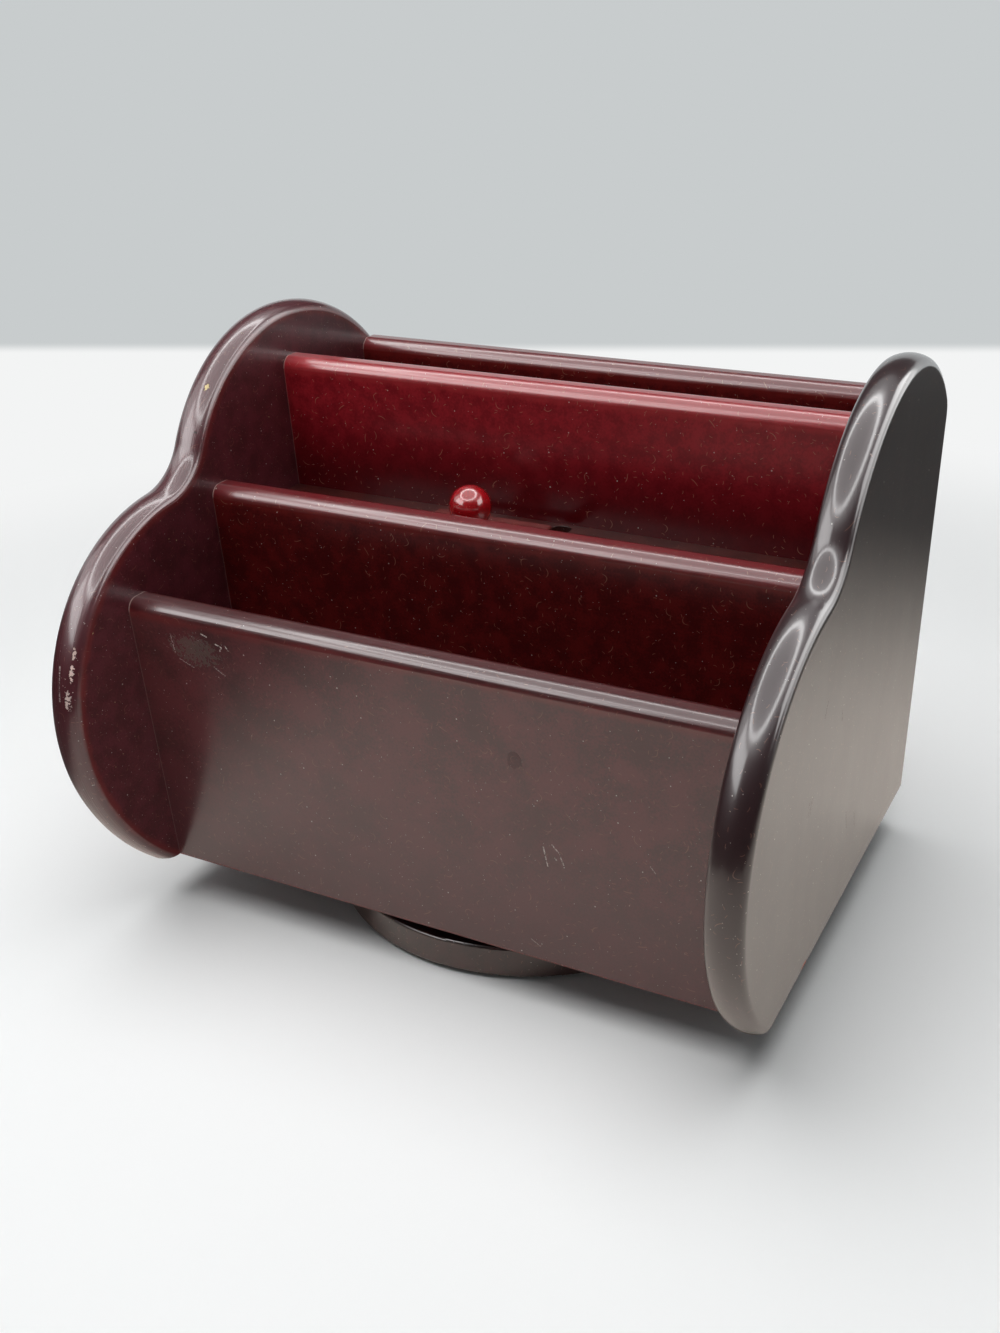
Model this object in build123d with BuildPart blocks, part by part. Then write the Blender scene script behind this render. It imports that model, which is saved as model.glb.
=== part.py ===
from build123d import *
import os
from math import cos, radians, sin, sqrt, tan

# Rotating desk organizer: a rack of lacquered boards on a round base with a ball-bearing turntable.
# Millimetres. The origin is the middle of the base's underside, on the turning axis.
# +Z is up, +X is to the right and the low front panel faces -Y.

# Boards: clear width between the side panels, thicknesses, and the clear depth of each bay
inner_width = 270.0
side_thickness = 15.0
board_thickness = 15.0
board_crest_flat = 4.0
floor_thickness = 12.0
front_bay = 45.5
middle_bay = 45.0
rear_bay = 48.0

# Heights above the underside of the rack
front_panel_height = 125.3
middle_divider_height = 154.8
rear_divider_height = 196.7
back_panel_height = 191.8

# Pen shelf, below the top of the middle divider
shelf_drop = 16.8
shelf_thickness = 9.0

# Outline of a side panel: a belly in front, a concave notch, a lobe above and a rounded rear corner.
# Centre heights are above the underside of the rack, setbacks are from the box's front and back.
belly_radius = 86.0
belly_height = 73.5
belly_setback = 45.0
lower_belly_radius = 112.0
lower_belly_angle = 18.0
notch_radius = 29.0
lobe_radius = 87.0
lobe_height = 131.0
lobe_setback = 66.0
corner_radius = 16.0
back_overhang = 1.0
crest_flat = 6.0

# Lid over the well in the pen shelf, with a finger gap on its right
lid_width = 57.0
lid_thickness = 2.5
lid_centre_x = -22.8
lid_front_gap = 1.5
lid_back_gap = 9.0
lid_overlap = 2.0
lid_edge_round = 1.0
lid_corner_round = 2.0
finger_gap = 6.5
finger_gap_margin = 2.5
opening_corner_round = 3.0
rounding_share = 0.4
cleat_thickness = 5.0
cleat_play = 0.5
well_depth = 42.0
well_wall_thickness = 9.0
well_floor_thickness = 6.0
knob_radius = 9.2
knob_neck_radius = 4.0
knob_neck_height = 1.2
knob_offset = -2.0

# Base and turntable, from the desk upwards
felt_thickness = 2.0
felt_margin = 4.0
base_radius = 95.5
base_thickness = 15.0
base_edge_round = 1.5
turntable_height = 8.0
turntable_radius = 60.0
turntable_bore_radius = 36.0
ring_relief = 0.6
race_radius = 48.0
race_gap = 1.6
ball_radius = 2.0
ball_count = 24
ball_clearance = 0.05
cage_thickness = 1.0
cage_height = 5.0
access_hole_radius = 5.0

# Dowels between the boards and the side panels
dowel_radius = 2.5
dowel_in_side = 8.0
dowel_in_board = 10.0
dowel_chamfer = 0.6
dowel_margin = 24.0
shelf_dowel_margin = 12.0
upright_dowels = 3
shelf_dowels = 2
glue_gap = 0.05
dowel_end_gap = 0.25

# Countersunk wood screws
screw_head_radius = 3.3
screw_head_angle = 90.0
screw_shank_radius = 1.7
screw_tip = 2.5
screw_slot_length = 3.6
screw_slot_width = 0.8
screw_slot_depth = 0.9
screw_clearance = 0.15
screw_bite = 9.0
divider_screw_bite = 18.0
divider_screw_count = 3
divider_screw_spacing = 100.0
ring_screw_count = 4
ring_screw_angle = 45.0

# Levels and places worked out from the sizes above
base_bottom = felt_thickness
base_top = base_bottom + base_thickness
rack_bottom = base_top + turntable_height
floor_top = rack_bottom + floor_thickness
shelf_top = rack_bottom + middle_divider_height - shelf_drop
shelf_bottom = shelf_top - shelf_thickness
lid_top = shelf_top + lid_thickness
well_bottom = shelf_top - well_depth

box_depth = front_bay + middle_bay + rear_bay + 4 * board_thickness
box_front = -box_depth / 2
box_back = box_depth / 2
middle_divider_front = box_front + board_thickness + front_bay
rear_divider_front = middle_divider_front + board_thickness + middle_bay
back_panel_front = box_back - board_thickness
middle_bay_front = middle_divider_front + board_thickness
left_face = -inner_width / 2
right_face = inner_width / 2
edge_round = (side_thickness - crest_flat) / 2
nose_round = (board_thickness - board_crest_flat) / 2

lid_left = lid_centre_x - lid_width / 2
lid_right = lid_centre_x + lid_width / 2
lid_front = middle_bay_front + lid_front_gap
lid_back = rear_divider_front - lid_back_gap
lid_centre_y = (lid_front + lid_back) / 2
knob_x = lid_centre_x + knob_offset
opening_left = lid_left + lid_overlap
opening_right = lid_right - lid_overlap
opening_front = lid_front + lid_overlap
opening_back = lid_back - lid_overlap
gap_right = lid_right + finger_gap
gap_back = rear_divider_front - finger_gap_margin
opening_round = min(opening_corner_round, rounding_share * (gap_right - opening_right))

ball_height = base_top + turntable_height / 2
ball_start_angle = 180 / ball_count
outer_ring_bore = race_radius + race_gap / 2
inner_ring_radius = race_radius - race_gap / 2
bottom_ring_top = rack_bottom - ring_relief
top_ring_bottom = base_top + ring_relief
bottom_screw_circle = (turntable_radius + outer_ring_bore) / 2
top_screw_circle = (turntable_bore_radius + inner_ring_radius) / 2
ring_height = turntable_height - ring_relief

dowel_hole_radius = dowel_radius + glue_gap
screw_hole_radius = screw_shank_radius + screw_clearance
screw_sink_radius = screw_head_radius + screw_clearance
screw_pilot_radius = screw_shank_radius + glue_gap
screw_head_depth = (screw_head_radius - screw_shank_radius) / tan(radians(screw_head_angle / 2))


def evenly(first, last, count):
    """Places from first to last at even spacing."""
    step = (last - first) / (count - 1)
    return [first + step * index for index in range(count)]


def upright_dowel_places(front_y, bottom_z, top_z):
    """Dowel centres (y, z) up the end of an upright board."""
    heights = evenly(bottom_z + dowel_margin, top_z - dowel_margin, upright_dowels)
    return [(front_y + board_thickness / 2, height) for height in heights]


def flat_dowel_places(front_y, back_y, middle_z, margin, count):
    """Dowel centres (y, z) along the end of a flat board."""
    return [(y, middle_z) for y in evenly(front_y + margin, back_y - margin, count)]


def facing_planes(face_x, toward, places):
    """A plane at each (y, z) place on the face at face_x, with its Z along X towards the given side."""
    return [Plane(origin=(face_x, y, z), z_dir=(toward, 0, 0)) for y, z in places]


def around(centre, radius, toward):
    """The point of a circle that lies in the direction of another point."""
    return centre + (toward - centre).normalized() * radius


def arc_about(centre, start, end):
    """Arc of less than half a turn about a centre."""
    halfway = (start - centre).normalized() + (end - centre).normalized()
    return ThreePointArc(start, centre + halfway.normalized() * (start - centre).length, end)


def meeting_point(centre_a, radius_a, centre_b, radius_b):
    """The crossing of two circles that lies to the left when looking from the first centre to the second."""
    span = centre_b - centre_a
    along = (span.length**2 + radius_a**2 - radius_b**2) / (2 * span.length)
    beside = sqrt(radius_a**2 - along**2)
    forward = span.normalized()
    return centre_a + forward * along + Vector(-forward.Y, forward.X) * beside


# Dowel places of each board
front_panel_dowels = upright_dowel_places(box_front, rack_bottom, rack_bottom + front_panel_height)
middle_divider_dowels = upright_dowel_places(
    middle_divider_front, floor_top, rack_bottom + middle_divider_height
)
rear_divider_dowels = upright_dowel_places(rear_divider_front, floor_top, rack_bottom + rear_divider_height)
back_panel_dowels = upright_dowel_places(back_panel_front, rack_bottom, rack_bottom + back_panel_height)
floor_dowels = flat_dowel_places(
    box_front + board_thickness,
    back_panel_front,
    rack_bottom + floor_thickness / 2,
    dowel_margin,
    upright_dowels,
)
pen_shelf_dowels = flat_dowel_places(
    middle_bay_front,
    rear_divider_front,
    shelf_top - shelf_thickness / 2,
    shelf_dowel_margin,
    shelf_dowels,
)
all_dowels = (
    front_panel_dowels
    + middle_divider_dowels
    + rear_divider_dowels
    + back_panel_dowels
    + floor_dowels
    + pen_shelf_dowels
)

# Centres and joints of the side panel's arcs, as (y, z)
belly_centre = Vector(box_front + belly_setback, rack_bottom + belly_height)
lobe_centre = Vector(box_back - lobe_setback, rack_bottom + lobe_height)
panel_back = box_back + back_overhang
lower_direction = Vector(-cos(radians(lower_belly_angle)), -sin(radians(lower_belly_angle)))
lower_centre = belly_centre + lower_direction * (belly_radius - lower_belly_radius)
notch_centre = meeting_point(
    belly_centre, belly_radius + notch_radius, lobe_centre, lobe_radius + notch_radius
)
corner_y = panel_back - corner_radius
corner_rise = sqrt((lobe_radius - corner_radius) ** 2 - (corner_y - lobe_centre.X) ** 2)
corner_centre = Vector(corner_y, lobe_centre.Y + corner_rise)
bottom_reach = sqrt(lower_belly_radius**2 - (lower_centre.Y - rack_bottom) ** 2)
bottom_front = Vector(lower_centre.X - bottom_reach, rack_bottom)
bottom_back = Vector(panel_back, rack_bottom)
belly_start = belly_centre + lower_direction * belly_radius
belly_end = around(belly_centre, belly_radius, notch_centre)
lobe_start = around(lobe_centre, lobe_radius, notch_centre)
lobe_end = around(lobe_centre, lobe_radius, corner_centre)
corner_end = Vector(panel_back, corner_centre.Y)


def side_panel(inner_face, outward):
    """Side panel with a wavy front and top, rounded over on both faces everywhere but along its bottom."""
    with BuildPart() as panel:
        with BuildSketch(Plane.YZ.offset(inner_face)):
            with BuildLine():
                Line(bottom_back, bottom_front)
                arc_about(lower_centre, bottom_front, belly_start)
                arc_about(belly_centre, belly_start, belly_end)
                arc_about(notch_centre, belly_end, lobe_start)
                arc_about(lobe_centre, lobe_start, lobe_end)
                arc_about(corner_centre, lobe_end, corner_end)
                Line(corner_end, bottom_back)
            make_face()
        extrude(amount=outward * side_thickness)
        rims = panel.faces().filter_by(Axis.X).edges()
        fillet([rim for rim in rims if rim.center().Z > rack_bottom + edge_round], radius=edge_round)
        with Locations(*facing_planes(inner_face, -outward, all_dowels)):
            Hole(dowel_hole_radius, depth=dowel_in_side + dowel_end_gap)
    return panel


def box_between(low, high):
    """Block between two corners, added to the open part."""
    size = Vector(*high) - Vector(*low)
    with Locations((Vector(*high) + Vector(*low)) * 0.5):
        return Box(size.X, size.Y, size.Z)


def upright_board(front_y, bottom_z, top_z, dowels):
    """Cross board with its top edges rounded over, dowelled into both side panels."""
    with BuildPart() as board:
        box_between((left_face, front_y, bottom_z), (right_face, front_y + board_thickness, top_z))
        fillet(board.edges().filter_by(Axis.X).group_by(Axis.Z)[-1], radius=nose_round)
        for end_x, outward in ((left_face, -1), (right_face, 1)):
            with Locations(*facing_planes(end_x, outward, dowels)):
                Hole(dowel_hole_radius, depth=dowel_in_board + dowel_end_gap)
    return board


def wood_screw(length):
    """Countersunk screw with a cross recess, its head's face at Z = 0 and its point at Z = -length."""
    with BuildPart() as screw:
        with BuildSketch(Plane.XZ):
            with BuildLine():
                Polyline(
                    (0, 0),
                    (screw_head_radius, 0),
                    (screw_shank_radius, -screw_head_depth),
                    (screw_shank_radius, screw_tip - length),
                    (0, -length),
                    close=True,
                )
            make_face()
        revolve(axis=Axis.Z)
        with BuildSketch():
            Rectangle(screw_slot_length, screw_slot_width)
            Rectangle(screw_slot_width, screw_slot_length)
        extrude(amount=-screw_slot_depth, mode=Mode.SUBTRACT)
    return screw.part


# Side panels
left_side_panel = side_panel(left_face, -1)
right_side_panel = side_panel(right_face, 1)

# Upright boards, from the front to the back
front_panel = upright_board(box_front, rack_bottom, rack_bottom + front_panel_height, front_panel_dowels)
middle_divider = upright_board(
    middle_divider_front, floor_top, rack_bottom + middle_divider_height, middle_divider_dowels
)
rear_divider = upright_board(
    rear_divider_front, floor_top, rack_bottom + rear_divider_height, rear_divider_dowels
)
back_panel = upright_board(back_panel_front, rack_bottom, rack_bottom + back_panel_height, back_panel_dowels)

# Screws that come up through the floor into the two dividers
divider_screw_x = evenly(
    -divider_screw_spacing * (divider_screw_count - 1) / 2,
    divider_screw_spacing * (divider_screw_count - 1) / 2,
    divider_screw_count,
)
divider_screw_planes = [
    Plane(origin=(x, front_y + board_thickness / 2, rack_bottom), z_dir=(0, 0, -1))
    for front_y in (middle_divider_front, rear_divider_front)
    for x in divider_screw_x
]
divider_screw_length = floor_thickness + divider_screw_bite
divider_screw = wood_screw(divider_screw_length)
with BuildPart() as divider_screws:
    with Locations(*divider_screw_planes):
        add(divider_screw)

for divider in (middle_divider, rear_divider):
    with divider:
        with Locations(*divider_screw_planes):
            Hole(screw_pilot_radius, depth=divider_screw_length + dowel_end_gap)

# Floor between the front and back panels, with the turntable's pilot holes in its underside
turntable_seat = Plane(origin=(0, 0, rack_bottom), z_dir=(0, 0, -1))
with BuildPart() as floor_panel:
    box_between(
        (left_face, box_front + board_thickness, rack_bottom), (right_face, back_panel_front, floor_top)
    )
    for end_x, outward in ((left_face, -1), (right_face, 1)):
        with Locations(*facing_planes(end_x, outward, floor_dowels)):
            Hole(dowel_hole_radius, depth=dowel_in_board + dowel_end_gap)
    with Locations(*divider_screw_planes):
        CounterSinkHole(screw_hole_radius, screw_sink_radius, counter_sink_angle=screw_head_angle)
    with Locations(turntable_seat):
        with PolarLocations(top_screw_circle, ring_screw_count, start_angle=ring_screw_angle):
            Hole(screw_pilot_radius, depth=screw_bite + dowel_end_gap)

# Pen shelf between the dividers, with the opening of the well and the finger gap that joins it
with BuildPart() as pen_shelf:
    box_between((left_face, middle_bay_front, shelf_bottom), (right_face, rear_divider_front, shelf_top))
    for end_x, outward in ((left_face, -1), (right_face, 1)):
        with Locations(*facing_planes(end_x, outward, pen_shelf_dowels)):
            Hole(dowel_hole_radius, depth=dowel_in_board + dowel_end_gap)
    with BuildSketch(Plane.XY.offset(shelf_top)) as opening:
        with BuildLine():
            Polyline(
                (opening_left, opening_front),
                (gap_right, opening_front),
                (gap_right, gap_back),
                (opening_right, gap_back),
                (opening_right, opening_back),
                (opening_left, opening_back),
                close=True,
            )
        make_face()
        fillet(opening.vertices(), radius=opening_round)
    extrude(amount=-shelf_thickness, mode=Mode.SUBTRACT)

# Well under the shelf: two walls and a floor glued between the dividers
with BuildPart() as well_left_wall:
    box_between(
        (opening_left - well_wall_thickness, middle_bay_front, well_bottom - well_floor_thickness),
        (opening_left, rear_divider_front, shelf_bottom),
    )
with BuildPart() as well_right_wall:
    box_between(
        (gap_right, middle_bay_front, well_bottom - well_floor_thickness),
        (gap_right + well_wall_thickness, rear_divider_front, shelf_bottom),
    )
with BuildPart() as well_floor:
    box_between(
        (opening_left, middle_bay_front, well_bottom - well_floor_thickness),
        (gap_right, rear_divider_front, well_bottom),
    )

# Dowels, half in the side panels and half in the ends of the boards
with BuildPart() as panel_dowels:
    for face_x, inward in ((left_face, 1), (right_face, -1)):
        starts = [plane.offset(-dowel_in_side) for plane in facing_planes(face_x, inward, all_dowels)]
        with Locations(*starts):
            Cylinder(
                dowel_radius,
                dowel_in_side + dowel_in_board,
                align=(Align.CENTER, Align.CENTER, Align.MIN),
            )
    chamfer(panel_dowels.edges().filter_by(GeomType.CIRCLE), length=dowel_chamfer)

# Lid plate, lying on the rim of the opening
lid_middle = (lid_centre_x, lid_centre_y)
with BuildPart() as lid_plate:
    with BuildSketch(Plane.XY.offset(shelf_top)):
        with Locations(lid_middle):
            RectangleRounded(lid_width, lid_back - lid_front, lid_corner_round)
    extrude(amount=lid_thickness)
    fillet(lid_plate.faces().sort_by(Axis.Z)[-1].edges(), radius=lid_edge_round)
    with Locations((knob_x, lid_centre_y, lid_top)):
        Hole(screw_hole_radius)

# Cleat under the lid, which keeps it from sliding off the opening
cleat_bottom = shelf_top - cleat_thickness
cleat_left = opening_left + cleat_play
cleat_depth = opening_back - opening_front - 2 * cleat_play
with BuildPart() as lid_cleat:
    with BuildSketch(Plane.XY.offset(cleat_bottom)):
        with Locations(((cleat_left + opening_right) / 2, lid_centre_y)):
            RectangleRounded(opening_right - cleat_left, cleat_depth, opening_round)
    extrude(amount=cleat_thickness)
    with Locations(Plane(origin=(knob_x, lid_centre_y, cleat_bottom), z_dir=(0, 0, -1))):
        CounterSinkHole(screw_hole_radius, screw_sink_radius, counter_sink_angle=screw_head_angle)

# Ball knob on a short neck, and the screw that holds it from below
knob_rise = knob_neck_height + sqrt(knob_radius**2 - knob_neck_radius**2)
with BuildPart() as lid_knob:
    with Locations((knob_x, lid_centre_y, lid_top)):
        Cylinder(knob_neck_radius, knob_rise, align=(Align.CENTER, Align.CENTER, Align.MIN))
    with Locations((knob_x, lid_centre_y, lid_top + knob_rise)):
        Sphere(knob_radius)
    with Locations((knob_x, lid_centre_y, lid_top)):
        Hole(screw_pilot_radius, depth=screw_bite + dowel_end_gap)

knob_screw_body = wood_screw(cleat_thickness + lid_thickness + screw_bite)
with BuildPart() as knob_screw:
    with Locations(Plane(origin=(knob_x, lid_centre_y, cleat_bottom), z_dir=(0, 0, -1))):
        add(knob_screw_body)

# Turntable: an outer ring on the base and an inner ring under the floor share one row of balls
with BuildPart() as turntable_bottom_ring:
    with BuildSketch(Plane.XZ):
        with Locations((outer_ring_bore, base_top)):
            Rectangle(turntable_radius - outer_ring_bore, ring_height, align=(Align.MIN, Align.MIN))
        with Locations((race_radius, ball_height)):
            Circle(ball_radius + ball_clearance, mode=Mode.SUBTRACT)
    revolve(axis=Axis.Z)
    with Locations((0, 0, bottom_ring_top)):
        with PolarLocations(bottom_screw_circle, ring_screw_count, start_angle=ring_screw_angle):
            CounterSinkHole(screw_hole_radius, screw_sink_radius, counter_sink_angle=screw_head_angle)

with BuildPart() as turntable_top_ring:
    with BuildSketch(Plane.XZ):
        with Locations((turntable_bore_radius, top_ring_bottom)):
            Rectangle(
                inner_ring_radius - turntable_bore_radius, ring_height, align=(Align.MIN, Align.MIN)
            )
        with Locations((race_radius, ball_height)):
            Circle(ball_radius + ball_clearance, mode=Mode.SUBTRACT)
    revolve(axis=Axis.Z)
    with Locations(Plane(origin=(0, 0, top_ring_bottom), z_dir=(0, 0, -1))):
        with PolarLocations(top_screw_circle, ring_screw_count, start_angle=ring_screw_angle):
            CounterSinkHole(screw_hole_radius, screw_sink_radius, counter_sink_angle=screw_head_angle)

ring_screw = wood_screw(ring_height + screw_bite)
with BuildPart() as bottom_ring_screws:
    with Locations((0, 0, bottom_ring_top)):
        with PolarLocations(bottom_screw_circle, ring_screw_count, start_angle=ring_screw_angle):
            add(ring_screw)

with BuildPart() as top_ring_screws:
    with Locations(Plane(origin=(0, 0, top_ring_bottom), z_dir=(0, 0, -1))):
        with PolarLocations(top_screw_circle, ring_screw_count, start_angle=ring_screw_angle):
            add(ring_screw)

# Balls and the cage that spaces them
with BuildPart() as bearing_balls:
    with Locations((0, 0, ball_height)):
        with PolarLocations(race_radius, ball_count, start_angle=ball_start_angle):
            Sphere(ball_radius)

with BuildPart() as ball_cage:
    with BuildSketch(Plane.XZ):
        with Locations((race_radius, ball_height)):
            Rectangle(cage_thickness, cage_height)
    revolve(axis=Axis.Z)
    with Locations((0, 0, ball_height)):
        with PolarLocations(race_radius, ball_count, start_angle=ball_start_angle):
            Cylinder(
                ball_radius + ball_clearance, 2 * cage_thickness, rotation=(0, 90, 0), mode=Mode.SUBTRACT
            )

# Round base, with one hole that lets a driver reach the upper ring's screws, and the felt over it
with BuildPart() as base_disc:
    with BuildSketch(Plane.XY.offset(base_bottom)):
        Circle(base_radius)
    extrude(amount=base_thickness)
    fillet(base_disc.edges().filter_by(GeomType.CIRCLE), radius=base_edge_round)
    with Locations((0, 0, base_top)):
        with PolarLocations(bottom_screw_circle, ring_screw_count, start_angle=ring_screw_angle):
            Hole(screw_pilot_radius, depth=screw_bite + dowel_end_gap)
        with PolarLocations(top_screw_circle, 1, start_angle=ring_screw_angle):
            Hole(access_hole_radius)

with BuildPart() as base_felt:
    with BuildSketch():
        Circle(base_radius - felt_margin)
    extrude(amount=felt_thickness)

pieces = {
    "left_side_panel": left_side_panel,
    "right_side_panel": right_side_panel,
    "front_panel": front_panel,
    "middle_divider": middle_divider,
    "rear_divider": rear_divider,
    "back_panel": back_panel,
    "floor_panel": floor_panel,
    "pen_shelf": pen_shelf,
    "well_left_wall": well_left_wall,
    "well_right_wall": well_right_wall,
    "well_floor": well_floor,
    "panel_dowels": panel_dowels,
    "divider_screws": divider_screws,
    "lid_plate": lid_plate,
    "lid_cleat": lid_cleat,
    "lid_knob": lid_knob,
    "knob_screw": knob_screw,
    "turntable_top_ring": turntable_top_ring,
    "top_ring_screws": top_ring_screws,
    "bearing_balls": bearing_balls,
    "ball_cage": ball_cage,
    "turntable_bottom_ring": turntable_bottom_ring,
    "bottom_ring_screws": bottom_ring_screws,
    "base_disc": base_disc,
    "base_felt": base_felt,
}
os.makedirs("parts", exist_ok=True)
for name, piece in pieces.items():
    piece.part.label = name
    export_step(piece.part, f"parts/{name}.step")
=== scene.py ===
"""Looks of the rotating desk organizer: finishes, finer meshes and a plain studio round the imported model."""

import logging
import math
from collections.abc import Callable, Sequence
from dataclasses import dataclass
from enum import Enum

import bmesh
import bpy
from mathutils import Matrix, Vector


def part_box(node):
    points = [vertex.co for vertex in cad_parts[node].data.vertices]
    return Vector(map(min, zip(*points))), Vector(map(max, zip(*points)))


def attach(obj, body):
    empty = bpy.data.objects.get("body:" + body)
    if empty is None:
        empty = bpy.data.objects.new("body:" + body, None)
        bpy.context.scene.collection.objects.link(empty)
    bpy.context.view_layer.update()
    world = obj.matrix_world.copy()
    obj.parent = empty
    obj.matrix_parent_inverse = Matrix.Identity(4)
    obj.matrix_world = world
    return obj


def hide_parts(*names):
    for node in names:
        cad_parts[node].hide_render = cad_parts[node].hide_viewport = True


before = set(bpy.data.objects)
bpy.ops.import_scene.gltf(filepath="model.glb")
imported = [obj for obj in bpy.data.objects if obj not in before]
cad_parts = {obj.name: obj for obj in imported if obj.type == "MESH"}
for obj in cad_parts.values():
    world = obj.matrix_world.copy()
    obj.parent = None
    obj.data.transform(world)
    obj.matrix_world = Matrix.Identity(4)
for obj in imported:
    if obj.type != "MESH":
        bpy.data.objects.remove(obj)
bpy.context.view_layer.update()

LOG = logging.getLogger("desk_organizer")
MM = 0.001
Tree = bpy.types.NodeTree
Node = bpy.types.Node
Socket = bpy.types.NodeSocket
Link = Node | Socket
Outputs = bpy.types.bpy_prop_collection
Material = bpy.types.Material
Mesh = bpy.types.Mesh
Piece = bpy.types.Object
Work = bmesh.types.BMesh
Triple = tuple[float, float, float]
Colour = tuple[float, float, float, float]


class Body(str, Enum):
    """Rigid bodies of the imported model."""

    BASE = "base"
    CAROUSEL = "carousel"
    CAGE = "cage"
    LID = "lid"


class Slot(str, Enum):
    """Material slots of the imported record."""

    BOARD = "mahogany_lacquer"
    KNOB = "red_knob_lacquer"
    DOWEL = "beech"
    SCREW = "screw_steel"
    RING = "turntable_aluminium"
    BALL = "ball_steel"
    CAGE = "cage_nylon"
    FELT = "black_felt"


class Kind(str, Enum):
    """Node kinds that are used more than once."""

    MATH = "ShaderNodeMath"
    VECTOR = "ShaderNodeVectorMath"
    MIX = "ShaderNodeMix"
    NOISE = "ShaderNodeTexNoise"
    CELLS = "ShaderNodeTexVoronoi"
    RANGE = "ShaderNodeMapRange"
    COORDS = "ShaderNodeTexCoord"
    SPLIT = "ShaderNodeSeparateXYZ"
    JOIN = "ShaderNodeCombineXYZ"
    CHANNELS = "ShaderNodeSeparateColor"
    BUMP = "ShaderNodeBump"
    ATTRIBUTE = "ShaderNodeAttribute"
    PATH = "ShaderNodeLightPath"
    GLOW = "ShaderNodeEmission"
    BLEND = "ShaderNodeMixShader"
    MOVE = "GeometryNodeTransform"
    SWEEP = "GeometryNodeCurveToMesh"
    CONE = "GeometryNodeMeshCone"


class EdgeAttribute(str, Enum):
    """Point attributes that tell a finish where a piece's worked edges are."""

    NEAR = "edge_near"
    RUN = "edge_run"


EDGE_REACH = 10.0  # mm: the edge attribute is this much at an arris, less on the flat and more on the round
STEEP = 0.7  # a face looks along an axis where that part of its normal is more than this
SMOOTH_NOISE = 2.0  # octaves of a noise that only breaks up a shape
NOISE_SPAN = (0.3, 0.7)  # a noise mostly stays between these
MERGE_REACH = 0.002  # mm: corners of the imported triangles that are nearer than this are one
FLAT_ANGLE = 0.3  # degrees: packed triangles that differ by less than this are one face
SHARP_ANGLE = 30.0  # degrees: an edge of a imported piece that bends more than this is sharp
BEVEL_ANGLE = 40.0  # degrees: an edge that bends more than this is softened
BEVEL_STEPS = 2


def linear(hex_code: str) -> Colour:
    """Turn an sRGB hex colour into a linear one.

    Args:
        hex_code: Six hex digits.

    Returns:
        Linear red, green and blue, and an alpha of one.
    """
    shares = [int(hex_code[start : start + 2], 16) / 255 for start in (0, 2, 4)]
    red, green, blue = (s / 12.92 if s <= 0.04045 else ((s + 0.055) / 1.055) ** 2.4 for s in shares)
    return red, green, blue, 1.0


def feed(tree: Tree, item: object, socket: Socket) -> None:
    """Link an output, or a node's first output in use, to an input, or set the input to a value.

    Args:
        tree: The tree of both.
        item: An output socket, a node or a value.
        socket: The input.
    """
    if isinstance(item, Node):
        item = next(output for output in item.outputs if output.enabled)
    if isinstance(item, Socket):
        tree.links.new(item, socket)
    else:
        socket.default_value = item


def add_node(tree: Tree, kind: str, inputs: Sequence | dict = (), **settings: object) -> Node:
    """Add a node, apply its settings, and link or set its inputs.

    Args:
        tree: The tree that the node goes into.
        kind: The node's type name.
        inputs: What goes into its first inputs in order or into named ones: what feed takes, or a list of it.
        **settings: Properties of the node, set before its inputs.

    Returns:
        The new node.
    """
    node = tree.nodes.new(kind.value if isinstance(kind, Kind) else kind)
    for name, value in settings.items():
        setattr(node, name, value)
    sockets = [socket for socket in node.inputs if socket.enabled]
    if isinstance(inputs, dict):
        named = {socket.name: socket for socket in reversed(sockets)}
        sockets = [named[name] for name in inputs]
        inputs = inputs.values()
    for socket, given in zip(sockets, inputs):
        for item in given if isinstance(given, list) else [given]:
            feed(tree, item, socket)
    return node


def new_material(name: str) -> tuple[Material, Tree, Node]:
    """Start a material.

    Args:
        name: The finish's name.

    Returns:
        The material, its node tree and its surface shader.
    """
    material = bpy.data.materials.new(name)
    material.use_nodes = True
    tree = material.node_tree
    return material, tree, tree.nodes["Principled BSDF"]


def set_shader(tree: Tree, shader: Node, inputs: dict[str, object]) -> None:
    """Link or set several inputs of a surface shader by name."""
    for name, item in inputs.items():
        feed(tree, item, shader.inputs[name])


def place_mm(tree: Tree) -> Node:
    """Add the piece's own coordinates, in millimetres, and give them."""
    place = add_node(tree, Kind.COORDS).outputs["Object"]
    return add_node(tree, Kind.VECTOR, (place, 1 / MM), operation="SCALE")


def face_place(tree: Tree, place: Link) -> Node:
    """Add flat coordinates that lie in whichever main plane a face looks out of.

    Args:
        tree: The material's tree.
        place: The piece's coordinates in millimetres.

    Returns:
        A vector whose Z is zero.
    """
    normal = add_node(tree, Kind.COORDS).outputs["Normal"]
    size = add_node(tree, Kind.VECTOR, (normal,), operation="ABSOLUTE")
    facing = add_node(tree, Kind.SPLIT, (size,)).outputs
    point = add_node(tree, Kind.SPLIT, (place,)).outputs
    sideways = add_node(tree, Kind.MATH, (facing["X"], STEEP), operation="GREATER_THAN")
    upward = add_node(tree, Kind.MATH, (facing["Z"], STEEP), operation="GREATER_THAN")
    across = add_node(tree, Kind.MIX, (sideways, point["X"], point["Y"]))
    along = add_node(tree, Kind.MIX, (upward, point["Z"], point["Y"]))
    return add_node(tree, Kind.JOIN, (across, along))


def fade(tree: Tree, value: Link, start: float, end: float) -> Node:
    """Add a smooth step from one at a start to zero at an end, in whichever order they lie.

    Args:
        tree: The material's tree.
        value: What is measured.
        start: The value where the result is one.
        end: The value where the result is zero.

    Returns:
        A float between zero and one.
    """
    first = 1.0 if start < end else 0.0
    inputs = (value, min(start, end), max(start, end), first, 1.0 - first)
    return add_node(tree, Kind.RANGE, inputs, interpolation_type="SMOOTHSTEP")


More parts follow.
